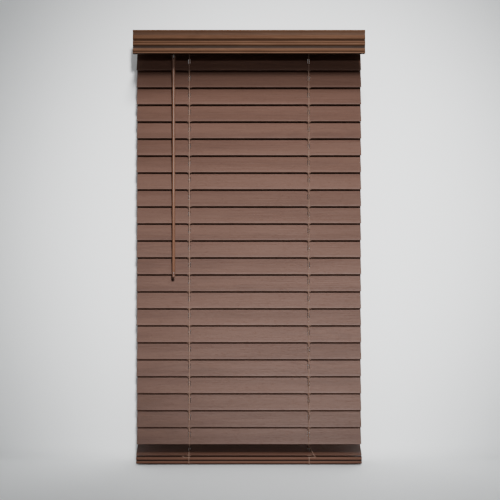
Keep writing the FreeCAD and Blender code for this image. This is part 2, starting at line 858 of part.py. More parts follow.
def build_wand():
    """A turned wooden rod with a slotted top, a pin across it and a rounded grip at the foot."""
    eye, upper_z, lower_z = hook_places()
    body = new_body("WandRod")
    profile = new_sketch(body, "XZ_Plane", "WandProfile")
    head = "(wand_radius * 1.2)"
    grip = "(wand_radius * 1.12)"
    outline(
        profile,
        [
            ("0", head),
            ("0", "(-wand_length)"),
            ("(wand_radius * 0.55)", "(-wand_length)", "(wand_radius * 0.6)", True),
            (grip, "(-wand_length + wand_radius * 0.55)"),
            (grip, "(-wand_length + wand_tip)"),
            ("wand_radius", "(-wand_length + wand_tip * 1.4)"),
            ("wand_radius", "(wand_radius * 0.5)"),
            ("(wand_radius * 0.6)", head),
        ],
    )
    turned = body.newObject("PartDesign::Revolution", "Turned")
    turned.Profile = profile
    turned.ReferenceAxis = (profile, ["V_Axis"])
    turned.Angle = 360
    body.Placement.Base = FreeCAD.Vector(eye.x, eye.y, lower_z)
    slot_box = doc.addObject("Part::Box", "WandSlot")
    bind(slot_box, Length="wand_slot", Width="4 * wand_radius", Height="4 * wand_radius")
    slot_box.Placement.Base = FreeCAD.Vector(
        eye.x - number("wand_slot") / 2,
        eye.y - 2 * number("wand_radius"),
        lower_z - 1.4 * number("wand_radius"),
    )
    pin = doc.addObject("Part::Cylinder", "WandPin")
    bind(pin, Radius="wire_radius", Height="wand_radius * 1.8")
    pin.Placement = FreeCAD.Placement(
        FreeCAD.Vector(eye.x - 0.9 * number("wand_radius"), eye.y, lower_z), AXES["X"]
    )
    keep("wand", fuse("Wand", cut("WandBody", body, slot_box), pin))


# ---- lift works ------------------------------------------------------------------------------------


def build_motor_case():
    """Two plates on posts, with the two flat spring coils that sit above the lift cords."""
    low = f"({HEAD_FLOOR} + fit_gap / 4)"
    top = f"({low} + motor_high - motor_wall)"
    plates = [
        box(
            f"MotorPlate{index}",
            ("motor_length", "motor_depth", "motor_wall"),
            ("-motor_length / 2", "-motor_depth / 2", z),
        )
        for index, z in enumerate((low, top))
    ]
    post_x = "(motor_length / 2 - 4 * motor_wall)"
    post_y = "(motor_depth / 2 - 3 * motor_wall)"
    posts = [
        cylinder(
            f"MotorPost{index}",
            "2 * motor_wall",
            "motor_high - motor_wall",
            (f"{along}{post_x}", f"{across}{post_y}", low),
        )
        for index, (along, across) in enumerate((("-", "-"), ("-", ""), ("", "-"), ("", "")))
    ]
    axle = cylinder("SpoolAxle", "2 * motor_wall", "motor_high - motor_wall", ("0", "0", low))
    frame = fuse("MotorFrame", *plates, *posts, axle)
    coil_low, bore_low = f"{top} - coil_high - fit_gap", f"{top} - 2 * coil_high"
    coils = [
        cut(
            f"SpringCoil{index}",
            cylinder(f"CoilOut{index}", "coil_radius", "coil_high", (x, "0", coil_low)),
            cylinder(f"CoilIn{index}", "coil_radius / 3", "2 * coil_high", (x, "0", bore_low)),
        )
        for index, x in enumerate(("-coil_offset", "coil_offset"))
    ]
    keep("lift_motor", group("LiftMotor", frame, *coils))


def build_cord_spool():
    low = f"({HEAD_FLOOR} + fit_gap / 4 + motor_wall + fit_gap)"
    high = "(motor_high - 2 * motor_wall - 2 * fit_gap)"
    barrel = cylinder("SpoolBarrel", "spool_radius", high, ("0", "0", low))
    rims = [
        cylinder(f"SpoolRim{index}", "spool_flange", "spool_rim", ("0", "0", z))
        for index, z in enumerate((low, f"{low} + {high} - spool_rim"))
    ]
    bore_low = f"{low} - motor_wall"
    bore = cylinder("SpoolBore", "2 * motor_wall + run_gap", "2 * motor_high", ("0", "0", bore_low))
    keep("cord_spool", cut("CordSpool", fuse("SpoolSolid", barrel, *rims), bore))


# ---- cords -----------------------------------------------------------------------------------------


def cord(points, radius, largest_bend):
    """A round cord along straight runs joined by tangent arcs."""
    edges = []
    at = points[0]
    for index in range(1, len(points) - 1):
        before, corner, after = points[index - 1], points[index], points[index + 1]
        come, leave = (corner - before), (after - corner)
        turn = come.getAngle(leave)
        bend = min(0.45 * min(come.Length, leave.Length) / math.tan(turn / 2), largest_bend)
        reach = bend * math.tan(turn / 2)
        start = corner - come.normalize() * reach
        end = corner + leave.normalize() * reach
        middle = corner + (start + end - corner * 2).normalize() * (bend / math.cos(turn / 2) - bend)
        edges.append(Part.LineSegment(at, start).toShape())
        edges.append(Part.Arc(start, middle, end).toShape())
        at = end
    edges.append(Part.LineSegment(at, points[-1]).toShape())
    path = Part.Wire(edges)
    section = Part.Wire(Part.Circle(points[0], points[1] - points[0], radius).toShape())
    solid = path.makePipeShell([section], True, False)
    if solid.Volume < 0:
        solid.reverse()
    return solid


def keep_cords(label, name, solids):
    feature = doc.addObject("Part::Feature", name)
    feature.Shape = Part.Compound(solids)
    keep(label, feature)


def build_lift_cords():
    """Each lift cord leaves the spool, turns down at its ladder slot and ends inside the bottom rail."""
    radius = number("cord_radius")
    off = "(spool_radius + 2 * cord_radius)"
    solids = []
    for side in ("-", ""):
        route = [
            point("0", f"-({side}{off})", CORD_Z),
            point(f"{side}ladder_offset", "0", CORD_Z),
            point(f"{side}ladder_offset", "0", f"{RAIL_TOP} - rail_height + plug_deep + fit_gap"),
        ]
        solids.append(cord(route, radius, number("cord_bend")))
    keep_cords("lift_cords", "LiftCords", solids)


def rung_pair(x):
    """The two cross strings under a level slat at one ladder."""
    radius = number("rung_radius")
    under = number("-(slat_thick / 2 + rung_radius + 0.75 * fit_gap)")
    reach = number("slat_depth / 2")
    return [
        Part.makeCylinder(
            radius,
            2 * reach,
            FreeCAD.Vector(x + sign * number("rung_spread"), -reach, under),
            FreeCAD.Vector(0, 1, 0),
        )
        for sign in (-1, 1)
    ]


def rungs_at(z, tilt):
    turn = FreeCAD.Placement(FreeCAD.Vector(0, 0, z), FreeCAD.Rotation(FreeCAD.Vector(1, 0, 0), tilt))
    solids = rung_pair(-number("ladder_offset")) + rung_pair(number("ladder_offset"))
    for solid in solids:
        solid.Placement = turn.multiply(solid.Placement)
    return solids


def slat_z(index):
    """Height formula of a slat's middle, counting from 1 at the top."""
    return LAST_Z if index == SLATS else f"({FIRST_Z} - {index - 1} * slat_pitch)"


def build_ladder_cords():
    """Front and rear uprights. The front ones also hold the rungs of the slats that have no rung node."""
    drum_y = "(drum_radius + flange_lift + string_radius + fit_gap)"
    rail_y = "(rail_depth / 2 + string_radius + fit_gap)"
    for label, name, side in (
        ("ladder_cords_front", "LadderFront", "-"),
        ("ladder_cords_rear", "LadderRear", ""),
    ):
        near_edge = f"{slat_z(SLATS - 1)} {'-' if side else '+'} {SLAT_RISE}"
        last_y = "(slat_depth / 2 * cos(last_tilt) + string_radius + 3 * fit_gap)"
        last_z = f"({LAST_Z} {'-' if side else '+'} {LAST_RISE})"
        solids = []
        for across in ("-", ""):
            x = f"{across}ladder_offset"
            route = [
                point(x, f"{side}{drum_y}", f"{ROD_Z} - rod_radius"),
                point(x, f"{side}{STRING_Y}", f"{FIRST_Z} {'-' if side else '+'} {SLAT_RISE}"),
                point(x, f"{side}{STRING_Y}", f"{near_edge} - 4 * string_radius"),
                point(x, f"{side}{last_y}", last_z),
                point(x, f"{side}{rail_y}", f"{RAIL_TOP} - 2 * string_radius"),
                point(x, f"{side}{rail_y}", f"{RAIL_TOP} - rail_height"),
            ]
            solids.append(cord(route, number("string_radius"), number("string_bend")))
        if side:
            for index in [*range(1, FIRST_LIFTED), *range(FIRST_ON_RAIL, SLATS + 1)]:
                tilt = number("last_tilt" if index == SLATS else "closed_tilt")
                solids += rungs_at(number(slat_z(index)), tilt)
        keep_cords(label, name, solids)


def build_ladder_rungs():
    for index in range(FIRST_LIFTED, FIRST_ON_RAIL):
        keep_cords(
            f"ladder_rungs_{index:02d}",
            f"Rungs{index:02d}",
            rungs_at(number(slat_z(index)), number("closed_tilt")),
        )


# ---- slats and bottom rail -------------------------------------------------------------------------


def build_slat(index):
    """A flat slat with rounded long edges and a route hole at each ladder."""
    body = new_body(f"Slat{index:02d}")
    section = new_sketch(body, "YZ_Plane", f"SlatSection{index:02d}")
    half_y, half_z = "(slat_depth / 2)", "(slat_thick / 2)"
    flat_y = f"({half_y} - slat_round)"
    flat_z = f"({half_z} - slat_round)"
    outline(
        section,
        [
            (f"(-{flat_y})", f"(-{half_z})"),
            (flat_y, f"(-{half_z})", "slat_round", True),
            (half_y, f"(-{flat_z})"),
            (half_y, flat_z, "slat_round", True),
            (flat_y, half_z),
            (f"(-{flat_y})", half_z, "slat_round", True),
            (f"(-{half_y})", flat_z),
            (f"(-{half_y})", f"(-{flat_z})", "slat_round", True),
        ],
    )
    pad(body, section, "slat_length")
    holes = new_sketch(body, "XY_Plane", f"RouteHoles{index:02d}")
    for side in ("-", ""):
        slot(holes, f"({side}ladder_offset)", "(route_long / 2)", "(route_wide / 2)")
    pocket(body, holes, f"RouteCut{index:02d}")
    body.Placement.Rotation = FreeCAD.Rotation(FreeCAD.Vector(1, 0, 0), 1)
    tilt = "last_tilt" if index == SLATS else "closed_tilt"
    body.setExpression(".Placement.Rotation.Angle", formula(tilt))
    place(body, z=slat_z(index))
    keep(f"slat_{index:02d}", body)


def build_bottom_rail():
    """A solid moulded rail with a groove along its front and back, bored for the cords and plugs."""
    body = new_body("BottomRail")
    section = new_sketch(body, "YZ_Plane", "RailSection")
    half = "(rail_depth / 2)"
    top, bottom = RAIL_TOP, f"({RAIL_TOP} - rail_height)"
    middle = f"({RAIL_TOP} - rail_height / 2)"
    flat = f"({half} - rail_round)"
    groove_low, groove_high = f"({middle} - rail_groove / 2)", f"({middle} + rail_groove / 2)"
    groove_y = f"({half} - groove_depth)"
    outline(
        section,
        [
            (f"(-{flat})", bottom),
            (flat, bottom, "rail_round", True),
            (half, f"({bottom} + rail_round)"),
            (half, groove_low),
            (groove_y, f"({middle} - rail_groove / 6)"),
            (groove_y, f"({middle} + rail_groove / 6)"),
            (half, groove_high),
            (half, f"({top} - rail_round)", "rail_round", True),
            (flat, top),
            (f"(-{flat})", top, "rail_round", True),
            (f"(-{half})", f"({top} - rail_round)"),
            (f"(-{half})", groove_high),
            (f"(-{groove_y})", f"({middle} + rail_groove / 6)"),
            (f"(-{groove_y})", f"({middle} - rail_groove / 6)"),
            (f"(-{half})", groove_low),
            (f"(-{half})", f"({bottom} + rail_round)", "rail_round", True),
        ],
    )
    pad(body, section, "slat_length")
    bores = []
    for side in ("-", ""):
        x = f"{side}ladder_offset"
        foot = (x, "0", f"{bottom} - 1")
        bores.append(cylinder("CordBore", "3 * cord_radius", "2 * rail_height", foot))
        bores.append(cylinder("PlugBore", "plug_radius + run_gap", "plug_deep + 1", foot))
    keep("bottom_rail", cut("Rail", body, *bores))


def build_rail_plugs():
    bottom = f"({RAIL_TOP} - rail_height)"
    plugs = []
    for side in ("-", ""):
        x = f"{side}ladder_offset"
        foot = (x, "0", f"{bottom} - plug_wall")
        flange = cylinder("PlugFlange", "plug_flange", "plug_wall", foot)
        stem = cylinder("PlugStem", "plug_radius", "plug_deep - plug_wall", foot)
        plugs.append(fuse("Plug", flange, stem))
    keep("rail_plugs", group("RailPlugs", *plugs))


# ---- build, check and write ------------------------------------------------------------------------


def build():
    fill_sheet()
    build_headrail()
    build_end_caps()
    build_brackets()
    build_bracket_doors()
    build_valance()
    build_valance_clips()
    build_tilt_rod()
    build_worm_gear()
    build_tilter_worm()
    build_tilter_housing()
    build_ladder_drums()
    build_drum_cradles()
    build_wand_hook()
    build_wand()
    build_motor_case()
    build_cord_spool()
    build_lift_cords()
    build_ladder_cords()
    build_ladder_rungs()
    for index in range(1, SLATS + 1):
        build_slat(index)
    build_bottom_rail()
    build_rail_plugs()
    sheet.clear("D1")
    doc.recompute()


def check():
    failed = [o.Name for o in doc.Objects if "Invalid" in o.State or "Error" in o.State]
    if failed:
        raise RuntimeError(f"features failed: {failed}")
    for label, thing in parts.items():
        if thing.Shape.isNull() or not thing.Shape.isValid() or not thing.Shape.Solids:
            raise RuntimeError(f"{label} has no valid solid")


def write():
    os.makedirs("parts", exist_ok=True)
    for label, thing in parts.items():
        thing.Shape.exportStep(f"parts/{label}.step")


build()
check()
write()
print(f"{len(parts)} nodes")
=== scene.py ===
"""A wooden venetian blind dressed for viewing: slats, valance, ladders, wand and inner works."""

import json
import logging
import random
from dataclasses import dataclass
from enum import Enum
from math import cos, hypot, pi, radians, sin
from typing import Any, Sequence

import bmesh
import bpy
from mathutils import Matrix, Vector


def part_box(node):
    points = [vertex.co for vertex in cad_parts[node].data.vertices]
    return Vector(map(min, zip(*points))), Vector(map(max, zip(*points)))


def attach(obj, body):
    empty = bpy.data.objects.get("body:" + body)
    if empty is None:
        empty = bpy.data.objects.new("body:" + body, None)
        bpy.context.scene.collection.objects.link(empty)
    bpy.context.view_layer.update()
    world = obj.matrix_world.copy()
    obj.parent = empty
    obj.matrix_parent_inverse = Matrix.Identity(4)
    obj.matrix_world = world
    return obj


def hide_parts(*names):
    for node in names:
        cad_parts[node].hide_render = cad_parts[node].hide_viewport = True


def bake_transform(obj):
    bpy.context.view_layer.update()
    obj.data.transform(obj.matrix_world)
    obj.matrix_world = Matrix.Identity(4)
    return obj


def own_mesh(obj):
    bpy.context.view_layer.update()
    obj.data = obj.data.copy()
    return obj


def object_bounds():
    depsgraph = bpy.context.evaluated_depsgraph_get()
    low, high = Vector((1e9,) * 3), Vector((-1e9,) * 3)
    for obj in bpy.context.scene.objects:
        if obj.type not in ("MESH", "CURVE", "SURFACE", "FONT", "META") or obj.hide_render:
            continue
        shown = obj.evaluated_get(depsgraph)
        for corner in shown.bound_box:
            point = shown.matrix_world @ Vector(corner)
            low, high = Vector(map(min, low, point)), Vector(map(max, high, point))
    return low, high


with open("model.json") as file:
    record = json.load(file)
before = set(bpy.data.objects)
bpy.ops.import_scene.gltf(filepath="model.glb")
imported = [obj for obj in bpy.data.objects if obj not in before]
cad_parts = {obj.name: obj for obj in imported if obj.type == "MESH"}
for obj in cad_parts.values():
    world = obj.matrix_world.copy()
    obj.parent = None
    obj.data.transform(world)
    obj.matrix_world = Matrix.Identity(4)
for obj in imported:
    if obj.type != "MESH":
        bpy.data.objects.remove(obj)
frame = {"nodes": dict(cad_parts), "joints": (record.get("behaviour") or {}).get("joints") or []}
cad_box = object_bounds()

log = logging.getLogger("blind")

Colour = tuple[float, float, float]
Point = tuple[float, float, float]
Flat = tuple[float, float]
Piece, Mesh = bpy.types.Object, bpy.types.Mesh
Material, Socket = bpy.types.Material, bpy.types.NodeSocket

MM = 0.001
SEED = 24
CREASE = 32  # degrees above which an edge stays sharp
CHART_FULL, CHART_GAMMA = 255, 2.2
MIX_A, MIX_B, MIX_RESULT = 6, 7, 2  # the Mix node's colour sockets


class Body(str, Enum):
    """The moving bodies that drawn pieces travel with."""

    HEAD = "headrail"
    RAIL = "bottom_rail"
    WAND = "wand"
    FRONT = "ladder_front"
    REAR = "ladder_rear"


class Side(Enum):
    """Front or rear of the blind, as the sign of its Y."""

    FRONT = -1
    REAR = 1


def rgb(red: int, green: int, blue: int) -> Colour:
    """Turn a paint chart's 0 to 255 colour into the linear light that the shaders take."""
    return tuple((part / CHART_FULL) ** CHART_GAMMA for part in (red, green, blue))


# ---- shader sheets ----


class Value:
    """A number that varies over a surface, with Python's arithmetic on it."""

    def __init__(self, sheet: "Sheet", socket: Socket) -> None:
        """Wrap one output socket of a finish's sheet."""
        self.sheet = sheet
        self.socket = socket

    def work(self, operation: str, *operands: Any) -> "Value":
        """Return the result of one Math node on the operands, each a Value or a number."""
        return self.sheet.value("ShaderNodeMath", {"operation": operation}, dict(enumerate(operands)))

    def __add__(self, other: Any) -> "Value":
        """Return self + other."""
        return self.work("ADD", self, other)

    __radd__ = __add__

    def __sub__(self, other: Any) -> "Value":
        """Return self - other."""
        return self.work("SUBTRACT", self, other)

    def __rsub__(self, other: Any) -> "Value":
        """Return other - self."""
        return self.work("SUBTRACT", other, self)

    def __mul__(self, other: Any) -> "Value":
        """Return self * other."""
        return self.work("MULTIPLY", self, other)

    __rmul__ = __mul__

    def size(self) -> "Value":
        """Return the value without its sign."""
        return self.work("ABSOLUTE", self)

    def wave(self) -> "Value":
        """Return the sine, moved and scaled to lie between 0 and 1."""
        return self.work("SINE", self) * 0.5 + 0.5

    def step(self, low: float, high: float) -> "Value":
        """Rise smoothly from 0 at low to 1 at high."""
        inputs = {"Value": self, "From Min": low, "From Max": high}
        return self.sheet.value("ShaderNodeMapRange", {"interpolation_type": "SMOOTHSTEP"}, inputs)


class Sheet:
    """The shader sheet of one finish."""

    def __init__(self, name: str) -> None:
        """Start an empty sheet under the finish's name."""
        self.material = bpy.data.materials.new(name)
        self.material.use_nodes = True
        self.tree = self.material.node_tree
        self.tree.nodes.clear()
        self.coordinates = self.add("ShaderNodeTexCoord").outputs["Object"]

    def add(self, kind: str, settings: dict | None = None, inputs: dict | None = None) -> bpy.types.Node:
        """Add any node.

        Args:
            kind: the node's type name.
            settings: the node's own settings, which are set first.
            inputs: values, colours or links for its sockets, by name or index.

        Returns:
            The new node.
        """
        node = self.tree.nodes.new(kind)
        for name, setting in (settings or {}).items():
            setattr(node, name, setting)
        for name, given in (inputs or {}).items():
            socket = node.inputs[name]
            if isinstance(given, Value):
                self.tree.links.new(given.socket, socket)
            elif isinstance(given, Socket):
                self.tree.links.new(given, socket)
            else:
                socket.default_value = (*given, 1) if socket.type == "RGBA" else given
        return node

    def value(self, kind: str, settings: dict, inputs: dict, output: Any = 0) -> Value:
        """Add any node, and return one output of it as a varying number."""
        return Value(self, self.add(kind, settings, inputs).outputs[output])

    def noise(self, scale: float, detail: float, twist: float = 0, where: Any = None) -> Value:
        """Return a cloudy pattern around 0.5, on the sheet's own coordinates or on others."""
        inputs = {"Vector": where or self.coordinates, "Scale": scale, "Detail": detail, "Distortion": twist}
        return self.value("ShaderNodeTexNoise", {}, inputs)

    def grain(self, pattern: "Grain") -> Value:
        """Make a pattern that is drawn out along X.

        Args:
            pattern: its scales, shift, detail and distortion.

        Returns:
            The pattern, around 0.5.
        """
        along, across, shift, detail, twist = pattern.value
        inputs = {0: self.coordinates, 1: (along, across, across), 2: (shift, shift, shift)}
        moved = self.add("ShaderNodeVectorMath", {"operation": "MULTIPLY_ADD"}, inputs).outputs[0]
        return self.noise(1.0, detail, twist, moved)

    def axis(self, name: str) -> Value:
        """Return one coordinate, X, Y or Z."""
        return self.value("ShaderNodeSeparateXYZ", {}, {0: self.coordinates}, name)

    def mix(self, share: Any, first: Any, second: Any) -> Socket:
        """Return a mix of two colours or links, with the second one's share a Value or a number."""
        inputs = {"Factor": share, MIX_A: first, MIX_B: second}
        return self.add("ShaderNodeMix", {"data_type": "RGBA"}, inputs).outputs[MIX_RESULT]

    def bump(self, height: Value, distance: float) -> Socket:
        """Return the normal bent by a pattern, whose height of 1 is a distance in metres."""
        return self.add("ShaderNodeBump", {}, {"Height": height, "Distance": distance}).outputs[0]

    def close(self, **sockets: Any) -> Material:
        """Add the surface shader and its output.

        Args:
            sockets: shader inputs, with underscores for spaces.

        Returns:
            The finished material.
        """
        inputs = {name.replace("_", " "): given for name, given in sockets.items()}
        shader = self.add("ShaderNodeBsdfPrincipled", {}, inputs)
        self.add("ShaderNodeOutputMaterial", {}, {"Surface": shader.outputs[0]})
        return self.material


# ---- finishes ----


class Grain(Enum):
    """Patterns that run along X: scale along and across it, shift, detail and distortion."""

    BOARD = (0.8, 23, 0, 1, 0)
    CLOUD = (3.2, 26, 4, 3, 0)
    HEART = (2.6, 21, 9, 2, 0.35)
    FIBRE = (16, 640, 2, 4, 0.2)
    LINE = (5, 310, 7, 2, 0)
    PORE = (95, 1900, 1, 2, 0)
    FIGURE = (2.1, 9, 13, 1, 0)
    ROLLED = (18, 900, 0, 2, 0)


@dataclass(frozen=True)
class PaintedShadeLine:
    """Painted shade: a dark band along a long groove or under an edge, where shade falls, painted into the
    wood's colour.
    """

    height: float
    half: float
    strength: float


@dataclass(frozen=True)
class Wood:
    """Stained wood under satin lacquer, with its grain along X."""

    name: str
    stain: Colour
    dark: Colour
    pale: Colour
    emboss: float
    roughness: float
    gloss: float
    coat: float
    upright: bool = False
    coat_roughness: float = 0.32
    rings: float = 62
    # how dark the painted shade is, as a share of the dark tone
    painted_shade_darkness: float = 0.16

    def material(self, painted_shade: Sequence[PaintedShadeLine] = ()) -> Material:
        """Build the material.

        Args:
            painted_shade: bands of painted shade, along grooves and under edges where shade falls.

        Returns:
            The wood, with board-to-board tone, figure, fibres, pores, embossed lines and bands of painted
            shade.
        """
        sheet = Sheet(self.name)
        if self.upright:
            inputs = {0: sheet.coordinates, "Angle": pi / 2}
            turned_up = sheet.add("ShaderNodeVectorRotate", {"rotation_type": "Y_AXIS"}, inputs)
            sheet.coordinates = turned_up.outputs[0]
        cloud, fibre = sheet.grain(Grain.CLOUD), sheet.grain(Grain.FIBRE)
        pore, streak = sheet.grain(Grain.PORE).step(0.60, 0.70), fibre.step(0.36, 0.66)
        rings = (sheet.grain(Grain.HEART) * self.rings).wave()
        figured = rings * sheet.grain(Grain.FIGURE).step(0.48, 0.66)
        tone = sheet.mix(streak * 0.34, self.stain, self.dark)
        tone = sheet.mix(sheet.grain(Grain.BOARD).step(0.38, 0.62) * 0.4, tone, self.pale)
        tone = sheet.mix(cloud.step(0.45, 0.72) * 0.18, tone, self.pale)
        tone = sheet.mix(figured * 0.26, tone, self.dark)
        tone = sheet.mix(pore * 0.45, tone, self.dark)
        # Painted shade: darken the colour in bands along grooves and under edges, where shade falls, instead
        # of real shading.
        deep = tuple(part * self.painted_shade_darkness for part in self.dark)
        for line in painted_shade:
            gap = (sheet.axis("Z") - line.height).size()
            depth = (1 - gap.step(line.half * 0.35, line.half)) * (0.85 + cloud * 0.3)
            tone = sheet.mix(depth * line.strength, tone, deep)
        lines = sheet.grain(Grain.LINE).step(0.38, 0.62)
        relief = lines * 0.8 + streak * 0.55 + figured * 0.5 - pore * 0.9
        return sheet.close(
            Base_Color=tone,
            Roughness=self.roughness + fibre * 0.1 + pore * 0.14 - cloud * 0.06,
            Normal=sheet.bump(relief, self.emboss),
            Specular_IOR_Level=self.gloss,
            Coat_Weight=self.coat,
            Coat_Roughness=self.coat_roughness,
        )


@dataclass(frozen=True)
class Metal:
    """Sheet or turned steel, zinc plated or stove painted."""

    name: str
    colour: Colour
    worn: Colour
    metallic: float
    roughness: float
    orange_peel: float = 0.00004

    def material(self) -> Material:
        """Build the material.

        Returns:
            The metal, with rolling lines, a mottled skin and small rubbed spots.
        """
        sheet = Sheet(self.name)
        mottle, rolled = sheet.noise(140, 3), sheet.grain(Grain.ROLLED)
        rubbed = mottle.step(0.35, 0.7) * 0.5 + sheet.noise(520, 2).step(0.62, 0.72) * 0.3
        return sheet.close(
            Base_Color=sheet.mix(rubbed, self.colour, self.worn),
            Metallic=self.metallic,
            Roughness=self.roughness + mottle * 0.14 + rolled * 0.1,
            Normal=sheet.bump(mottle * 0.6 + rolled * 0.4, self.orange_peel),
        )


@dataclass(frozen=True)
class Plastic:
    """Injection-moulded plastic with a fine spark-eroded grain."""

    name: str
    colour: Colour
    rubbed: Colour
    roughness: float = 0.42
    transmission: float = 0.0
    spark: float = 0.00002

    def material(self) -> Material:
        """Build the material.

        Returns:
            The plastic, with flow marks and moulded grain.
        """
        sheet = Sheet(self.name)
        grain, flow = sheet.noise(2600, 2), sheet.noise(45, 2, 0.6)
        tone = sheet.mix(flow.step(0.4, 0.7) * 0.45 + grain * 0.12, self.colour, self.rubbed)
        return sheet.close(
            Base_Color=tone,
            Roughness=self.roughness + grain * 0.12 + flow * 0.08,
            Normal=sheet.bump(grain, self.spark),
            Transmission_Weight=self.transmission,
        )


@dataclass(frozen=True)
class Braid:
    """Polyester string, braided from two tones of yarn, with painted shade in the gaps between the yarns."""

    name: str
    yarn: Colour
    fleck: Colour
    pitch: float = 0.0022
    relief: float = 0.00014
    sheen: float = 0.25

    def material(self) -> Material:
        """Build the material.

        Returns:
            The string, with slanting yarns, flecks, fuzz and painted shade between the yarns.
        """
        sheet = Sheet(self.name)
        turn = 2 * pi / self.pitch
        across = sheet.axis("X") + sheet.axis("Y")
        left = ((sheet.axis("Z") + across) * turn).wave()
        right = ((sheet.axis("Z") - across) * turn).wave()
        yarn = left.work("MAXIMUM", left, right)
        fuzz, fleck = sheet.noise(3000, 3), sheet.noise(620, 1).step(0.5, 0.64)
        # Painted shade: the gaps between the yarns take the darker fleck tone, where shade falls.
        tone = sheet.mix((1 - yarn) * 0.5 + fuzz * 0.2, self.yarn, self.fleck)
        return sheet.close(
            Base_Color=sheet.mix(fleck * 0.35, tone, self.fleck),
            Roughness=0.74 + fuzz * 0.2,
            Normal=sheet.bump(yarn * 0.8 + fuzz * 0.3, self.relief),
            Sheen_Weight=self.sheen,
        )


class Finish(Enum):
    """Every finish on the blind."""

    SLAT = Wood("slat_wood", rgb(71, 48, 38), rgb(55, 35, 27), rgb(84, 60, 50), 0.00008, 0.55, 0.22, 0.02)
    VALANCE = Wood("valance_wood", rgb(79, 56, 42), rgb(58, 39, 28), rgb(92, 69, 54), 6e-5, 0.55, 0.08, 0.0)
    RAIL = Wood("rail_wood", rgb(74, 48, 36), rgb(54, 33, 23), rgb(88, 61, 48), 6e-5, 0.5, 0.15, 0.0)
    WAND = Wood("wand_wood", rgb(84, 56, 41), rgb(60, 37, 26), rgb(104, 74, 57), 5e-5, 0.4, 0.3, 0.05, True)
    CORD = Braid("cord", rgb(116, 88, 72), rgb(82, 58, 45))
    PAINTED = Metal("painted_steel", rgb(82, 55, 41), rgb(96, 68, 52), 0.0, 0.4)
    ZINC = Metal("zinc_steel", rgb(176, 178, 180), rgb(148, 150, 152), 1.0, 0.3)
    BROWN = Plastic("brown_plastic", rgb(72, 47, 34), rgb(86, 60, 47))
    CLEAR = Plastic("clear_plastic", rgb(226, 228, 226), rgb(208, 210, 208), 0.18, 0.6)
    MOTOR = Plastic("motor_plastic", rgb(44, 44, 46), rgb(62, 62, 64))
    WHITE = Plastic("white_plastic", rgb(206, 204, 196), rgb(190, 188, 180))


MADE: dict[Finish, Material] = {}


def coat(piece: Piece, finish: Finish, painted_shade: Any = (), drawn: bool = True) -> None:
    """Give a piece its finish, whose material is made the first time that it is asked for.

    Args:
        piece: a mesh object.
        finish: what it is coated with.
        painted_shade: bands of painted shade on a wood, along grooves and under edges.
        drawn: not used.
    """
    if finish not in MADE:
        MADE[finish] = finish.value.material(painted_shade) if painted_shade else finish.value.material()
    piece.data.materials.clear()
    piece.data.materials.append(MADE[finish])


def mount(piece: Piece, finish: Finish, body: str, node: str = "", painted_shade: Any = ()) -> None:
    """Coat a drawn piece and let it travel with a body.

    Args:
        piece: the piece.
        finish: what it is coated with.
        body: the body.
        node: the node of the frame that it stands in for, if any.
        painted_shade: bands of painted shade on a wood, along grooves and under edges.
    """
    coat(piece, finish, painted_shade)
    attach(piece, body)
    if node:
        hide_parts(node)


# ---- shaping ----


def placed(name: str, data: Any) -> Piece:
    """Put a mesh, a curve, a light or a camera in the scene.

    Args:
        name: the object's name.
        data: what it shows.

    Returns:
        The new object.
    """
    piece = bpy.data.objects.new(name, data)
    bpy.context.scene.collection.objects.link(piece)
    return piece


def baked(piece: Piece) -> Mesh:
    """Return the mesh that a curve, or a piece with modifiers, comes to."""
    bpy.context.view_layer.update()
    return bpy.data.meshes.new_from_object(piece.evaluated_get(bpy.context.evaluated_depsgraph_get()))


def settle(mesh: Mesh, crease: float = CREASE) -> None:
    """Face a mesh outwards and shade it.

    Args:
        mesh: the mesh.
        crease: the angle in degrees above which an edge stays sharp.
    """
    work = bmesh.new()
    work.from_mesh(mesh)
    bmesh.ops.recalc_face_normals(work, faces=work.faces)
    work.to_mesh(mesh)
    work.free()
    mesh.shade_smooth()
    mesh.set_sharp_from_angle(angle=radians(crease))


def solid(name: str, points: Sequence[Point], faces: Sequence[Sequence[int]], closed: bool = True) -> Piece:
    """Make a mesh object with smooth faces and sharp creases.

    Args:
        name: the piece's name.
        points: its corners.
        faces: corner numbers of each face.
        closed: whether it has an inside, so that its faces are turned outwards.

    Returns:
        The new object.
    """
    mesh = bpy.data.meshes.new(name)
    mesh.from_pydata([tuple(point) for point in points], [], [tuple(face) for face in faces])
    if closed:
        settle(mesh)
    else:
        mesh.shade_smooth()
    return placed(name, mesh)


def arc(centre: Flat, radius: float, start: float, end: float, steps: int) -> list[Flat]:
    """Return the points along an arc from one angle to another in degrees, both ends included."""
    turns = [radians(start + (end - start) * index / steps) for index in range(steps + 1)]
    return [(centre[0] + radius * cos(turn), centre[1] + radius * sin(turn)) for turn in turns]


def bowed(start: Flat, end: Flat, bow: float, steps: int) -> list[Flat]:
    """Lay points from start up to end along a shallow curve, end left out.

    Args:
        start: the first point.
        end: the point that the next stretch starts from.
        bow: how far the middle stands to the right of the straight line.
        steps: how many runs it has.

    Returns:
        The points.
    """
    (x, y), run, rise = start, end[0] - start[0], end[1] - start[1]
    long = hypot(run, rise)
    points = []
    for index in range(steps):
        share = index / steps
        out = 4 * bow * share * (1 - share)
        points.append((x + run * share + out * rise / long, y + rise * share - out * run / long))
    return points


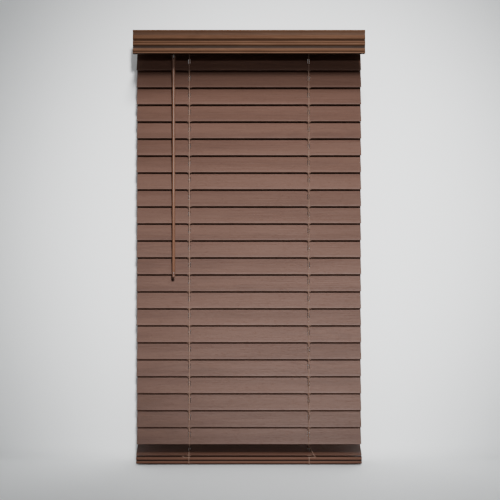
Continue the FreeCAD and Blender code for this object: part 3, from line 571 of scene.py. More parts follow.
def extruded(name: str, section: Sequence[Flat], half: float, runs: int, ease: float) -> Piece:
    """Run a section along X, with the two end faces' edges eased.

    Args:
        name: the piece's name.
        section: the (y, z) outline.
        half: half of the length.
        runs: how many lengthwise runs the mesh has.
        ease: how far the ends' edges are rubbed back.

    Returns:
        The new object.
    """
    count = len(section)
    middle = [sum(axis) / count for axis in zip(*section)]
    tight = [1 - 2 * ease / (max(axis) - min(axis)) for axis in zip(*section)]
    inner = [ease - half + (2 * half - 2 * ease) * index / runs for index in range(1, runs)]
    stations = [-half, -half + ease, *inner, half - ease, half]
    points = []
    for station in stations:
        for spot in section:
            if abs(station) > half - ease / 2:
                spot = [mid + (at - mid) * share for at, mid, share in zip(spot, middle, tight)]
            points.append((station, *spot))
    faces = [list(range(count))]
    for here in range(0, (len(stations) - 1) * count, count):
        for index in range(count):
            after = (index + 1) % count
            faces.append([here + index, here + after, here + count + after, here + count + index])
    faces.append([(len(stations) - 1) * count + index for index in reversed(range(count))])
    return solid(name, points, faces)


def turned(name: str, profile: Sequence[Flat], centre: Vector, sides: int = 40) -> Piece:
    """Turn a profile about an upright axis.

    Args:
        name: the piece's name.
        profile: (radius, height) from one end on the axis to the other.
        centre: where the axis stands and height 0 is.
        sides: how many sides it has.

    Returns:
        The new object.
    """
    points = [(centre.x, centre.y, centre.z + profile[0][1])]
    for radius, height in profile[1:-1]:
        for index in range(sides):
            turn = 2 * pi * index / sides
            x, y = centre.x + radius * cos(turn), centre.y + radius * sin(turn)
            points.append((x, y, centre.z + height))
    points.append((centre.x, centre.y, centre.z + profile[-1][1]))
    last = 1 + (len(profile) - 3) * sides
    faces = []
    for index in range(sides):
        after = (index + 1) % sides
        faces.append([0, 1 + index, 1 + after])
        for here in range(1, last, sides):
            faces.append([here + index, here + sides + index, here + sides + after, here + after])
        faces.append([last + index, len(points) - 1, last + after])
    return solid(name, points, faces)


def strung(name: str, routes: Sequence[Sequence[Point]], radius: float, fine: int = 6) -> Piece:
    """Make strings along smooth routes, as one mesh.

    Args:
        name: the piece's name.
        routes: for each string, the points that pull its curve.
        radius: the string's radius.
        fine: how many runs lie between two points.

    Returns:
        The new object.
    """
    curve = bpy.data.curves.new(name + "_route", "CURVE")
    curve.dimensions = "3D"
    curve.bevel_depth = radius
    curve.bevel_resolution = 3
    curve.use_fill_caps = True
    for route in routes:
        spline = curve.splines.new("NURBS")
        spline.points.add(len(route) - 1)
        for spot, place in zip(spline.points, route):
            spot.co = (*place, 1)
        spline.order_u = 3
        spline.use_endpoint_u = True
        spline.resolution_u = fine
    holder = placed(name + "_route", curve)
    mesh = baked(holder)
    bpy.data.objects.remove(holder)
    mesh.name = name
    mesh.shade_smooth()
    return placed(name, mesh)


def joined(name: str, pieces: Sequence[Piece]) -> Piece:
    """Join mesh objects into one.

    Args:
        name: the joined piece's name.
        pieces: what goes into it, which is used up.

    Returns:
        The new object.
    """
    work = bmesh.new()
    for piece in pieces:
        work.from_mesh(piece.data)
        bpy.data.objects.remove(piece)
    mesh = bpy.data.meshes.new(name)
    work.to_mesh(mesh)
    work.free()
    mesh.shade_smooth()
    return placed(name, mesh)


def bored(piece: Piece, cutters: Sequence[Piece]) -> None:
    """Cut holes in a piece.

    Args:
        piece: what is bored.
        cutters: the shapes taken away, which are used up.
    """
    for cutter in cutters:
        change = piece.modifiers.new("bore", "BOOLEAN")
        change.operation = "DIFFERENCE"
        change.solver = "EXACT"
        change.object = cutter
    mesh = baked(piece)
    piece.modifiers.clear()
    piece.data = mesh
    for cutter in cutters:
        bpy.data.objects.remove(cutter)
    settle(mesh)


def knot(name: str, centre: Point, size: Point) -> Piece:
    """Tie a small overhand knot, as two crossing turns of string round a core.

    Args:
        name: the piece's name.
        centre: its middle.
        size: its half extents.

    Returns:
        The new object.
    """
    steps, flat, lift, part, string = 8, 0.7, 0.6, 0.3, 0.62
    turns = []
    for lean in (-0.5, 0.5):
        ring = []
        for index in range(steps + 1):
            turn = 2 * pi * index / steps
            x, y = centre[0] + size[0] * cos(turn), centre[1] + size[1] * sin(turn) * flat
            ring.append((x, y, centre[2] + size[2] * (lift * sin(turn) * lean * 2 + part * lean)))
        turns.append(ring)
    return strung(name, turns, min(size) * string, 3)


# ---- measurements read from the frame ----


def joint_limit(name: str, unit: str) -> float:
    """Return how far a joint travels, in the unit that its range is given in."""
    low, high = next(joint for joint in frame["joints"] if joint["name"] == name)["range_" + unit]
    return high - low


def middle_of(node: str) -> Vector:
    """Return the middle of a node's box at rest."""
    low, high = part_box(node)
    return (low + high) / 2


# ---- slats ----


@dataclass
class Slats:
    """The stack of wooden slats, each with two rout holes."""

    count: int = 24
    edge_share: float = 0.36
    frame_edge_share: float = 0.4
    hole_long: float = 16 * MM
    hole_wide: float = 5.5 * MM
    bow: float = 0.1 * MM
    twist: float = 0.12  # degrees
    shift: float = 0.3 * MM
    runs: int = 44

    def __post_init__(self) -> None:
        """Work out the slat's own size from its tilted box and the rail's depth."""
        low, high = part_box("slat_01")
        rail_low, rail_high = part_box("bottom_rail")
        self.closed = joint_limit("tilt", "deg") / 2
        self.last = joint_limit("tilt_24", "deg") / 2
        self.depth = rail_high.y - rail_low.y
        self.length = high.x - low.x
        lean = radians(self.closed)
        saved = 2 * self.frame_edge_share * (cos(lean) + sin(lean) - 1)
        self.thick = (high.y - low.y - self.depth * cos(lean)) / (sin(lean) - saved)
        plug_low, plug_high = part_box("rail_plugs")
        self.ladder_x = plug_high.x - (plug_high.y - plug_low.y) / 2

    def node(self, index: int) -> str:
        """Return the name of a slat, counted from 1 at the top."""
        return f"slat_{index:02d}"

    def tilt(self, index: int) -> float:
        """Return a slat's tilt at rest, in radians."""
        return radians(self.last if index == self.count else self.closed)

    def frame_of(self, index: int) -> Matrix:
        """Return the matrix from a level slat at the origin to its place."""
        return Matrix.Translation(middle_of(self.node(index))) @ Matrix.Rotation(self.tilt(index), 4, "X")

    def section(self) -> list[Flat]:
        """Draw the slat's outline.

        Returns:
            The (y, z) points, rounded along both edges and flat between.
        """
        radius = self.thick * self.edge_share
        y, z = self.depth / 2 - radius, self.thick / 2 - radius
        flat, turns = 10, 4
        points = arc((y, z), radius, 0, 90, turns)
        points += [(y - 2 * y * step / flat, self.thick / 2) for step in range(1, flat)]
        points += arc((-y, z), radius, 90, 180, turns) + arc((-y, -z), radius, 180, 270, turns)
        points += [(-y + 2 * y * step / flat, -self.thick / 2) for step in range(1, flat)]
        return points + arc((y, -z), radius, 270, 360, turns)

    def rout(self, x: float) -> Piece:
        """Make the cutter of one rout hole.

        Args:
            x: where the hole is along the slat.

        Returns:
            The cutter.
        """
        radius = self.hole_wide / 2
        run = self.hole_long / 2 - radius
        outline = arc((x, run), radius, 0, 180, 10) + arc((x, -run), radius, 180, 360, 10)
        count = len(outline)
        points = [(*spot, side * self.thick) for side in (-1, 1) for spot in outline]
        faces = [list(range(count)), list(range(count, 2 * count))]
        faces += [[i, (i + 1) % count, count + (i + 1) % count, count + i] for i in range(count)]
        return solid("rout", points, faces)

    def build(self, rng: random.Random) -> None:
        """Cut, warp, place and coat every slat.

        Args:
            rng: the source of each slat's small differences.
        """
        board = extruded("slat_pattern", self.section(), self.length / 2, self.runs, ease=0.5 * MM)
        bored(board, [self.rout(self.ladder_x), self.rout(-self.ladder_x)])
        pattern = board.data
        bpy.data.objects.remove(board)
        for index in range(1, self.count + 1):
            mesh = pattern.copy()
            bow = rng.uniform(-self.bow, self.bow)
            twist = radians(rng.uniform(-self.twist, self.twist))
            shift = rng.uniform(-self.shift, self.shift)
            place = self.frame_of(index)
            for vertex in mesh.vertices:
                x, y, z = vertex.co
                share = 2 * x / self.length
                z += bow * (1 - share**2) + y * sin(twist * share)
                vertex.co = place @ Vector((x + shift, y, z))
            node = self.node(index)
            mount(placed(f"wood_slat_{index:02d}", mesh), Finish.SLAT, node, node)
        log.info("slats: %d, %.1f mm deep, %.2f mm thick", self.count, self.depth / MM, self.thick / MM)


# ---- ladders and lift cords ----


@dataclass
class Ladders:
    """The two string ladders that carry the slats, and the two lift cords."""

    slats: Slats
    first_lifted: int = 8
    on_rail: int = 23
    string: float = 0.8 * MM
    rung: float = 0.45 * MM
    spread: float = 5 * MM
    neck: float = 2.4 * MM
    slip: float = 14 * MM
    short: float = 3 * MM
    drop: float = 2.6 * MM
    bend: float = 4 * MM
    runs: int = 14
    fine: int = 8
    node_size: Point = (0.75 * MM, 0.7 * MM, 0.9 * MM)
    tie_size: Point = (1.7 * MM, 1.1 * MM, 1.5 * MM)

    def __post_init__(self) -> None:
        """Read the drums, the rail and the lift's travel from the frame."""
        self.x = self.slats.ladder_x
        slat_low, slat_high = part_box("slat_01")
        self.y = (slat_high.y - slat_low.y) / 2 + 1.5 * self.string
        self.travel = joint_limit("lift", "m")
        self.rail_low, self.rail_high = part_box("bottom_rail")
        self.face = self.rail_high.y + self.string * 1.2
        self.foot_z = self.rail_high.z + 1.5 * MM
        drum_low, drum_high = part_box("ladder_drums")
        self.drum = (drum_high.y - drum_low.y) / 2
        self.drum_z = (drum_high.z + drum_low.z) / 2

    def edge_z(self, index: int, side: Side) -> float:
        """Return the height of a slat's front or rear edge at rest."""
        rise = self.slats.depth / 2 * sin(self.slats.tilt(index))
        return middle_of(self.slats.node(index)).z + side.value * rise

    def both(self, line: Sequence[Flat]) -> list[list[Point]]:
        """Return the routes of one (y, z) line at both ladders."""
        return [[(x, *spot) for spot in line] for x in (-self.x, self.x)]

    def slack(self, ladder: int, side: Side) -> float:
        """Return how far a string has slipped sideways on the rail: only the right front one has."""
        return self.slip if (ladder > 0 and side is Side.FRONT) else 0.0

    def top(self, side: Side) -> None:
        """Hang the strings from the drums down to the first slat's edge.

        Args:
            side: front or rear.
        """
        out, end, drum, high = side.value, self.edge_z(1, side), self.drum, self.drum_z
        y, hang = out * (drum + self.string), high - drum * 0.5
        line = [(out * drum * 0.55, high + drum * 0.86), (out * drum * 0.93, high + drum * 0.5), (y, high)]
        line += [(y, hang), (out * self.y * 1.15, (end + high) / 2), (out * self.y, (3 * end + high) / 4)]
        line.append((out * self.y, end))
        piece = strung(f"ladder_top_{side.name.lower()}", self.both(line), self.string, self.fine)
        coat(piece, Finish.CORD)
        self.slats.node(1)
        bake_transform(piece)

    def middle(self, side: Side, body: Body) -> None:
        """Run the strings past the fixed slats, and then past those that gather.

        Args:
            side: front or rear.
            body: the side's own body.
        """
        tag = side.name.lower()
        high, parting, low = [self.edge_z(i, side) for i in (1, self.first_lifted - 1, self.on_rail)]
        parts, stretches = [], (("upper", high, parting, 0.25 * MM), ("lower", parting, low, 0.35 * MM))
        for part, start, end, waver in stretches:
            name = f"ladder_{part}_{tag}"
            rng, routes = random.Random(name), []
            for x in (-self.x, self.x):
                route = []
                for step in range(self.runs + 1):
                    drift = 0 if step in (0, self.runs) else rng.uniform(-waver, waver)
                    route.append((x + drift, side.value * self.y, start + (end - start) * (step / self.runs)))
                routes.append(route)
            parts.append(strung(name, routes, self.string))
        mount(parts[0], Finish.CORD, body.value, f"ladder_cords_{tag}")
        mount(parts[1], Finish.CORD, body.value)
        keep = 1 - self.travel / (parting - low)
        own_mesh(parts[1])

    def foot(self, side: Side) -> None:
        """Run the strings from the last closed slat down to the rail.

        Args:
            side: front or rear.
        """
        out, near = side.value, side.value * self.y
        start, last = self.edge_z(self.on_rail, side), self.edge_z(self.slats.count, side)
        tilt = self.slats.tilt(self.slats.count)
        deep = self.slats.depth / 2 * cos(tilt) + self.slats.thick / 2 * sin(tilt)
        past = out * (deep + 1.5 * self.string)
        routes = []
        for ladder in (-1, 1):
            x, slip = ladder * self.x, self.slack(ladder, side)
            route = [(x, near, start), (x, near, start - self.short)]
            route.append((x + slip * 0.35, (near + past) / 2, start * 0.55 + last * 0.45))
            route += [(x + slip * 0.8, past, last + 3 * MM), (x + slip * 0.9, past, last)]
            routes.append([*route, (x + slip, out * self.face, self.foot_z)])
        piece = strung(f"ladder_foot_{side.name.lower()}", routes, self.string, self.fine)
        if side is Side.FRONT:
            coat(piece, Finish.CORD)
            top, low = (0, near, start), (0, near, start - self.short)
            self.slats.node(self.on_rail)
            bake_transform(piece)
            return
        mount(piece, Finish.CORD, Body.RAIL.value)
        swing = self.slats.depth * sin(self.slats.tilt(1))
        keep = (start - swing - self.foot_z) / (start - self.foot_z)
        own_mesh(piece)

    def tie(self, side: Side) -> None:
        """Lead the strings over the rail's edge to their plugs, with a knot on its face.

        Args:
            side: front or rear.
        """
        face, top, bottom = side.value * self.face, self.rail_high.z, self.rail_low.z
        level = top - 2.4 * MM
        routes, pieces = [], []
        for ladder in (-1, 1):
            x, slip = ladder * self.x, self.slack(ladder, side)
            route = [(x + slip, face, self.foot_z)]
            if slip:
                route.append((x + slip * 1.25, face, top - 0.2 * MM))
                route.append((x + slip * 0.8, face * 1.02, top - 1.8 * MM))
                route.append((x + slip * 0.3, face * 1.01, top - 1.2 * MM))
            down = [(face, top - 3 * MM), (face, bottom + 3 * MM), (face * 0.99, bottom - 0.6 * MM)]
            down += [(face * 0.8, bottom - 0.7 * MM), (side.value * 8 * MM, bottom - 0.8 * MM)]
            routes.append(route + [(x, *spot) for spot in down])
            pieces.append(knot("tie", (x, face, level), self.tie_size))
        pieces.append(strung("foot", routes, self.string, self.fine))
        if side is Side.FRONT:
            x = -self.x
            tail = [(x, face, level), (x - 7 * MM, face, top - 1.4 * MM), (x - 14 * MM, face, top - 1.8 * MM)]
            tail += [(x - 17 * MM, face * 0.99, top + 1.2 * MM), (x - 13 * MM, face * 0.98, top + 1.4 * MM)]
            pieces.append(strung("tail", [tail], self.string * 0.9))
        mount(joined(f"ladder_tie_{side.name.lower()}", pieces), Finish.CORD, Body.RAIL.value)

    def rungs(self, index: int) -> None:
        """Cross each ladder under one slat with a pair of strings, knotted to the uprights.

        Args:
            index: the slat's number.
        """
        place = self.slats.frame_of(index)
        level = place.inverted()
        under = -self.slats.thick / 2 + self.rung / 2
        edge = self.slats.depth / 2
        reach, drop = self.y, self.drop
        if index == self.slats.count:
            reach, drop = edge * cos(self.slats.tilt(index)) + 1.2 * MM, 0.0
        line = [(-edge - 0.9 * MM, under * 0.8), (-edge + 0.5 * MM, under), (-edge + 4 * MM, under)]
        line += [(0, under), (edge - 4 * MM, under), (edge - 0.5 * MM, under)]
        line.append((edge + 0.9 * MM, under * 0.8))
        routes, pieces = [], []
        for ladder in (-self.x, self.x):
            ends = []
            for side in Side:
                z = self.edge_z(index, side) + side.value * drop
                ends.append(tuple(level @ Vector((ladder, side.value * reach, z))))
                pieces.append(knot("node", ends[-1], self.node_size))
            front, rear = ends
            for sign in (-1, 1):
                x, neck = ladder + sign * self.spread, ladder + sign * self.neck
                route = [front, (neck, -edge - 1.1 * MM, front[2] * 0.4)]
                route += [(x, *spot) for spot in line]
                routes.append(route + [(neck, edge + 1.1 * MM, under * 0.8), rear])
        pieces.append(strung("cross", routes, self.rung, 5))
        piece = joined(f"rungs_{index:02d}", pieces)
        piece.data.transform(place)
        lifted = self.first_lifted <= index < self.on_rail
        mount(piece, Finish.CORD, self.slats.node(index), f"ladder_rungs_{index:02d}" if lifted else "")

    def lift_cords(self) -> None:
        """Lead each lift cord from the spool to its ladder, and down through the slats to the rail."""
        low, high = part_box("lift_cords")
        radius, bend = abs(low.x + self.x), self.bend
        level, off = high.z - radius, abs(low.y) - radius
        anchor = level - bend * 2
        routes = []
        for sign in (-1, 1):
            route = [(0, -sign * off, level), (sign * self.x * 0.5, -sign * off * 0.5, level)]
            route.append((sign * (self.x - 2 * bend), -sign * off * 2 * bend / self.x, level))
            route += [(sign * (self.x - bend / 2), 0, level), (sign * self.x, 0, level - bend / 2)]
            routes.append([*route, (sign * self.x, 0, anchor)])
        mount(strung("lift_cord_runs", routes, radius, self.fine), Finish.CORD, Body.HEAD.value)
        line = [(0, anchor), (0, (anchor + low.z) / 2), (0, low.z)]
        drops = strung("lift_cord_drops", self.both(line), radius)
        mount(drops, Finish.CORD, Body.HEAD.value, "lift_cords")
        keep = 1 - self.travel / (anchor - low.z)
        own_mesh(drops)

    def build(self) -> None:
        """Make every string of the blind."""
        for side, body in ((Side.FRONT, Body.FRONT), (Side.REAR, Body.REAR)):
            self.top(side)
            self.middle(side, body)
            self.foot(side)
            self.tie(side)
        for index in range(1, self.slats.count + 1):
            self.rungs(index)
        self.lift_cords()
        log.info("ladders: strings %.2f mm, rungs for %d slats", 2 * self.string / MM, self.slats.count)


# ---- valance and bottom rail ----


@dataclass
class Valance:
    """The moulded wooden valance."""

    top_bead: float = 3.5 * MM
    groove: float = 4.5 * MM
    reed: float = 5.75 * MM
    lower_groove: float = 5 * MM
    lower_cove: float = 10 * MM
    quirk: float = 1.2 * MM
    foot_bead: float = 5.5 * MM
    reed_set: float = 1.8 * MM
    groove_set: float = 3.2 * MM
    ease: float = 0.5 * MM
    crease: float = 38

    def __post_init__(self) -> None:
        """Stack the moulding's levels up from its foot."""
        self.low, self.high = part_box("valance")
        self.foot = self.low.z + self.foot_bead
        self.quirk_top = self.foot + self.quirk
        self.cove_top = self.quirk_top + self.lower_cove
        self.reed_low = self.cove_top + self.lower_groove
        self.reed_mid = self.reed_low + self.reed
        self.reed_top = self.reed_mid + self.reed
        self.groove_top = self.reed_top + self.groove

    def section(self) -> list[Flat]:
        """Draw the moulding's outline.

        Returns:
            The (y, z) points, down the front from the top and up the back.
        """
        low, high, front, ease = self.low, self.high, self.low.y, self.ease
        bead_end, third = high.z - self.top_bead, front + self.top_bead / 3
        reed, groove = front + self.reed_set, front + self.groove_set
        stops = [
            ((third + ease, bead_end - ease / 2), -2.2, 10),
            ((front, self.groove_top + 3 * MM), 0.3, 4),
            ((front + ease, self.groove_top), -0.5, 4),
            ((groove, self.reed_top + self.groove / 2.5), -0.3, 3),
            ((reed, self.reed_top), 1.4, 8),
            ((reed, self.reed_mid), 1.4, 8),
            ((reed, self.reed_low), -0.2, 3),
            ((groove, self.cove_top + self.lower_groove / 2), -0.3, 3),
            ((groove, self.cove_top), -1.5, 10),
            ((front, self.quirk_top), 0.0, 2),
            ((reed, self.foot), 2.0, 8),
            ((front + self.top_bead, low.z), 0.0, 0),
        ]
        points = bowed((front + self.top_bead / 2 + 0.6 * MM, high.z), (third, bead_end), 1.0 * MM, 6)
        for (start, bow, steps), (end, *_) in zip(stops, stops[1:]):
            points += bowed(start, end, bow * MM, steps)
        back = high.y
        points += [stops[-1][0], (back - ease, low.z), (back, low.z + ease)]
        return points + [(back, high.z - ease), (back - ease, high.z)]

    def build(self) -> None:
        """Run the moulding, paint shade into its grooves, upper cove and foot, and fix it on the headrail."""
        # Painted shade: dark bands in the grooves, the upper cove and under the foot, where shade falls on
        # the moulding.
        painted_shade = [
            PaintedShadeLine(self.low.z - 0.5 * MM, 2.6 * MM, 0.8),
            PaintedShadeLine(self.foot + 0.4 * MM, 1.5 * MM, 0.75),
            PaintedShadeLine(self.cove_top + 1.2 * MM, 5.4 * MM, 0.85),
            PaintedShadeLine(self.reed_mid, 1.0 * MM, 0.3),
            PaintedShadeLine(self.reed_top + 1.0 * MM, 3.2 * MM, 0.75),
            PaintedShadeLine(self.high.z - self.top_bead - 5 * MM, 7 * MM, 0.36),
        ]
        long = self.high.x - self.low.x
        piece = extruded("moulded_valance", self.section(), long / 2, runs=24, ease=0.6 * MM)
        settle(piece.data, self.crease)
        mount(piece, Finish.VALANCE, Body.HEAD.value, "valance", painted_shade)
        log.info("valance: %.0f mm long", long / MM)


@dataclass
class BottomRail:
    """The wooden bottom rail, grooved along its front and back."""

    corner: float = 4 * MM
    groove: float = 4 * MM
    deep: float = 2.4 * MM
    bow: float = -0.4 * MM
    cord_bore: float = 2.1 * MM
    plug_bore: float = 7 * MM

    def __post_init__(self) -> None:
        """Read the rail's box from the frame."""
        self.low, self.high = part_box("bottom_rail")

    def section(self) -> list[Flat]:
        """Draw the rail's outline.

        Returns:
            The (y, z) points, anticlockwise from the front of its foot.
        """
        y, middle, corner, half = self.high.y, (self.low.z + self.high.z) / 2, self.corner, self.groove / 2
        flat, foot, head = y - corner, self.low.z + corner, self.high.z - corner
        points = arc((flat, foot), corner, -90, 0, 7)
        points += bowed((y, middle - half), (y - self.deep, middle), self.bow, 5)
        points += bowed((y - self.deep, middle), (y, middle + half), self.bow, 5)
        points += arc((flat, head), corner, 0, 90, 7) + arc((-flat, head), corner, 90, 180, 7)
        points += bowed((-y, middle + half), (-y + self.deep, middle), self.bow, 5)
        points += bowed((-y + self.deep, middle), (-y, middle - half), self.bow, 5)
        return points + arc((-flat, foot), corner, 180, 270, 7)

    def build(self, slats: Slats) -> None:
        """Run the rail, bore it for the cords and plugs, and let it travel with the lift.

        Args:
            slats: the slats, whose ladders the bores line up with.
        """
        low, high = self.low, self.high
        piece = extruded("wooden_rail", self.section(), (high.x - low.x) / 2, runs=24, ease=0.8 * MM)
        tall, plug_top = high.z - low.z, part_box("rail_plugs")[1].z + 0.3 * MM
        foot = low.z - tall
        cutters = []
        for x in (-slats.ladder_x, slats.ladder_x):
            for radius, end in ((self.cord_bore, high.z + tall), (self.plug_bore, plug_top)):
                bar = [(0, 0), (radius, 0), (radius, end - foot), (0, end - foot)]
                cutters.append(turned("bore", bar, Vector((x, 0, foot)), sides=28))
        bored(piece, cutters)
        # Painted shade and shadow: dark bands in the groove and under the foot, and along the top where the
        # last slat's shadow falls.
        painted_shade = [
            PaintedShadeLine((low.z + high.z) / 2, 2.5 * MM, 0.95),
            PaintedShadeLine(low.z - 0.5 * MM, 3.8 * MM, 0.85),
            PaintedShadeLine(high.z, 2.4 * MM, 0.75),
        ]
        mount(piece, Finish.RAIL, Body.RAIL.value, "bottom_rail", painted_shade)
        log.info("bottom rail: %.1f mm high", tall / MM)


# ---- wand ----


@dataclass
class Wand:
    """The turned tilt wand with its sleeve and tip."""

    radius: float = 3.6 * MM
    sleeve_long: float = 15 * MM
    tip_long: float = 14 * MM
    slit: float = 2.4 * MM
    slit_foot: float = -9.4 * MM
    pin_z: float = -4.3 * MM
    pin_radius: float = 0.65 * MM

    def build(self) -> None:
        """Turn the rod, crimp the sleeve on its top and push the tip on its foot."""
        low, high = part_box("wand")
        axis = Vector(((low.x + high.x) / 2, (low.y + high.y) / 2, high.z))
        long, full, sleeve, tip = high.z - low.z, self.radius, self.sleeve_long, self.tip_long
        wide, grip, foot = full * 1.1, full * 1.12, tip - long
        rod = [(0, 2 * MM - sleeve), (full * 0.9, 2 * MM - sleeve), (full, 0.5 * MM - sleeve)]
        rod += [(full, -sleeve - 1 * MM), (full * 0.985, -long * 0.3), (full, -long * 0.6), (full, foot)]
        rod += [(full * 0.9, foot - 1 * MM), (0, foot - 1 * MM)]
        collar = [(0, -0.2 * MM), (wide * 0.72, 0), (wide * 0.95, -0.7 * MM), (wide, -1.6 * MM)]
        collar += [(wide, -sleeve * 0.55), (wide * 0.93, -sleeve * 0.6), (wide * 0.93, -sleeve * 0.66)]
        collar += [(wide, -sleeve * 0.71), (wide, 0.6 * MM - sleeve), (wide * 0.97, -sleeve), (0, -sleeve)]
        end = [(0, foot + 0.4 * MM), (full * 1.02, foot + 0.4 * MM), (grip, foot - 0.6 * MM)]
        end += [(grip, tip * 0.5 - long), (grip * 0.93, tip * 0.45 - long), (grip, tip * 0.4 - long)]
        end += [(grip, 2 * MM - long), (grip * 0.8, 0.7 * MM - long), (grip * 0.45, -long), (0, -long)]
        cheek = [(side * self.slit / 2, y) for side in (-1, 1) for y in (-2 * wide, 2 * wide)]
        corners = [(axis.x + x, axis.y + y, axis.z + z) for z in (self.slit_foot, 5 * MM) for x, y in cheek]
        sides = [(0, 1, 3, 2), (4, 6, 7, 5), (0, 4, 5, 1), (2, 3, 7, 6), (0, 2, 6, 4), (1, 5, 7, 3)]
        pin = [(axis.x + side * wide, axis.y, axis.z + self.pin_z) for side in (-1, 1)]
        mount(turned("wand_rod", rod, axis), Finish.WAND, Body.WAND.value, "wand")
        piece = turned("wand_sleeve", collar, axis)
        bored(piece, [solid("slit", corners, sides)])
        mount(piece, Finish.PAINTED, Body.WAND.value)
        mount(turned("wand_tip", end, axis), Finish.BROWN, Body.WAND.value)
        mount(strung("wand_pin", [pin], self.pin_radius), Finish.ZINC, Body.WAND.value)
        log.info("wand: %.0f mm long", long / MM)


# ---- pieces that keep their frame shape ----


@dataclass
class Works:
    """The headrail and everything in and on it, which keep the shapes of the frame."""

    coats: tuple = (
        (Finish.PAINTED, ("headrail", "mounting_brackets", "bracket_doors")),
        (Finish.BROWN, ("end_caps", "rail_plugs")),
        (Finish.CLEAR, ("valance_clips",)),
        (Finish.ZINC, ("tilt_rod", "wand_hook")),
        (Finish.WHITE, ("worm_gear", "tilter_worm", "tilter_housing", "ladder_drums", "cord_spool")),
        (Finish.MOTOR, ("drum_cradles", "lift_motor")),
    )
    edge: float = 0.25 * MM
    eased: tuple[str, ...] = ("headrail", "mounting_brackets", "bracket_doors", "end_caps", "valance_clips")

    def build(self) -> None:
        """Coat every kept node and ease the edges of the sheet metal."""
        for finish, nodes in self.coats:
            for node in nodes:
                coat(frame["nodes"][node], finish, drawn=False)
        for node in self.eased:
            ease = frame["nodes"][node].modifiers.new("eased", "BEVEL")
            ease.width = self.edge
            ease.segments = 2
            ease.limit_method = "ANGLE"
            ease.harden_normals = True
        log.info("works: %d nodes coated", sum(len(nodes) for _, nodes in self.coats))


# ---- stage ----


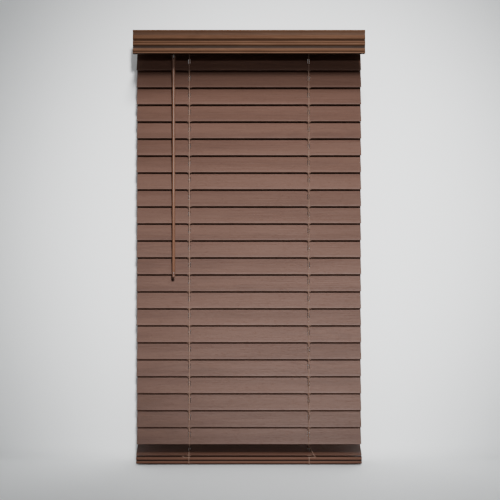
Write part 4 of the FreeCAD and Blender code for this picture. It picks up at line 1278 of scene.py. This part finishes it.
@dataclass
class Studio:
    """A plain pale sweep, soft lights and the camera."""

    distance: float = 2.8
    eye: float = -0.551
    lens: float = 79.0
    aside: float = 0.0025
    behind: float = 0.045
    bend: float = 0.04
    sweep_size: Point = (3.0, -4.0, 2.6)
    key: Point = (0.6, -5.4, 1.15)
    key_aim: Point = (0.1, 0, -0.46)
    key_power: float = 3300
    key_cone: float = 19
    key_soft: float = 0.25
    flag_half: float = 0.284
    flag_deep: float = 0.2
    scrim_deep: float = 0.36
    lower_deep: float = 0.055
    panels: tuple = (
        ("top", (-0.3, -1.0, 1.3), (0, 0, -0.4), (1.6, 0.9), 6),
        ("back", (0.7, 2.2, 0.7), (0, 0, -0.5), (1.6, 1.2), 18),
    )
    room: Colour = (0.93, 0.97, 1.0)
    room_light: float = 0.24

    def sweep(self) -> None:
        """Lay the floor and turn it up behind the blind. It is clear from behind, and to the lights."""
        wide, front, tall = self.sweep_size
        floor, wall = cad_box[0].z - 2 * MM, cad_box[1].y + self.behind
        corner = arc((wall - self.bend, floor + self.bend), self.bend, -90, 0, 10)
        line = [(front, floor), *corner, (wall, floor + tall)]
        points = [(side * wide, y, z) for y, z in line for side in (-1, 1)]
        faces = [[2 * i, 2 * i + 1, 2 * i + 3, 2 * i + 2] for i in range(len(line) - 1)]
        stage = solid("sweep", points, faces, closed=False)
        sheet = Sheet("pale_paper")
        tone = sheet.mix(sheet.noise(1.2, 2), rgb(240, 242, 243), rgb(245, 247, 247))
        behind = sheet.value("ShaderNodeNewGeometry", {}, {}, "Backfacing")
        stage.data.materials.append(sheet.close(Base_Color=tone, Roughness=0.9, Alpha=1 - behind))
        stage.visible_shadow = False

    def flag(self, name: str, near: float, far: float, height: float, share: float) -> None:
        """Hang a level black cloth that only casts a shadow.

        Args:
            name: the cloth's name.
            near: the Y of its edge at the blind.
            far: the Y of its edge towards the lights.
            height: its Z.
            share: the share of the light that it stops.
        """
        half = self.flag_half
        drift = (far - near) * self.key[0] / self.key[1]
        spots = [(-half, near), (half, near), (half + drift, far), (drift - half, far)]
        stage = solid(name, [(*spot, height) for spot in spots], [(0, 1, 2, 3)], closed=False)
        sheet = Sheet(name + "_cloth")
        rough = 0.8 + sheet.noise(800, 2) * 0.2
        stage.data.materials.append(sheet.close(Base_Color=rgb(20, 20, 20), Roughness=rough, Alpha=share))
        stage.visible_camera = False
        stage.visible_glossy = False

    def hang(self, data: bpy.types.Light, place: Point, aim: Point, power: float) -> None:
        """Hang a light where the camera doesn't see it.

        Args:
            data: the light.
            place: where it hangs.
            aim: what it points at.
            power: its power in watts.
        """
        data.energy = power
        light = placed(data.name, data)
        light.location = place
        light.rotation_euler = (Vector(aim) - Vector(place)).to_track_quat("-Z", "Y").to_euler()
        light.visible_camera = False

    def build(self) -> None:
        """Set up the sweep, the lights, the room's light and the camera."""
        self.sweep()
        flood = bpy.data.lights.new("key", "SPOT")
        flood.spot_size = radians(self.key_cone)
        flood.spot_blend = 1.0
        flood.shadow_soft_size = self.key_soft
        self.hang(flood, self.key, self.key_aim, self.key_power)
        for name, place, aim, size, power in self.panels:
            panel = bpy.data.lights.new(name, "AREA")
            panel.shape = "RECTANGLE"
            panel.size, panel.size_y = size
            self.hang(panel, place, aim, power)
        low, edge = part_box("valance")[0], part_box("slat_23")[0]
        level = low.z + 1 * MM
        self.flag("flag", low.y, -self.flag_deep, level, share=0.8)
        self.flag("scrim", low.y, -self.scrim_deep, level - 1 * MM, share=0.4)
        self.flag("lower_flag", edge.y - 2 * MM, edge.y - self.lower_deep, edge.z + 1 * MM, share=0.9)
        world = bpy.data.worlds.new("room")
        world.use_nodes = True
        light = world.node_tree.nodes["Background"]
        light.inputs["Color"].default_value = (*self.room, 1)
        light.inputs["Strength"].default_value = self.room_light
        bpy.context.scene.world = world
        data = bpy.data.cameras.new("camera")
        data.lens = self.lens
        data.sensor_width = 36
        camera = placed("camera", data)
        camera.location = (self.aside, -self.distance, self.eye)
        camera.rotation_euler = (pi / 2, 0, 0)
        bpy.context.scene.camera = camera
        log.info("studio: camera %.1f m off", self.distance)


def main() -> None:
    """Build the blind piece by piece and set it in the studio."""
    logging.basicConfig(level=logging.INFO, format="%(name)s: %(message)s")
    slats = Slats()
    slats.build(random.Random(SEED))
    Ladders(slats).build()
    Valance().build()
    BottomRail().build(slats)
    Wand().build()
    Works().build()
    Studio().build()


if __name__ == "__main__":
    main()
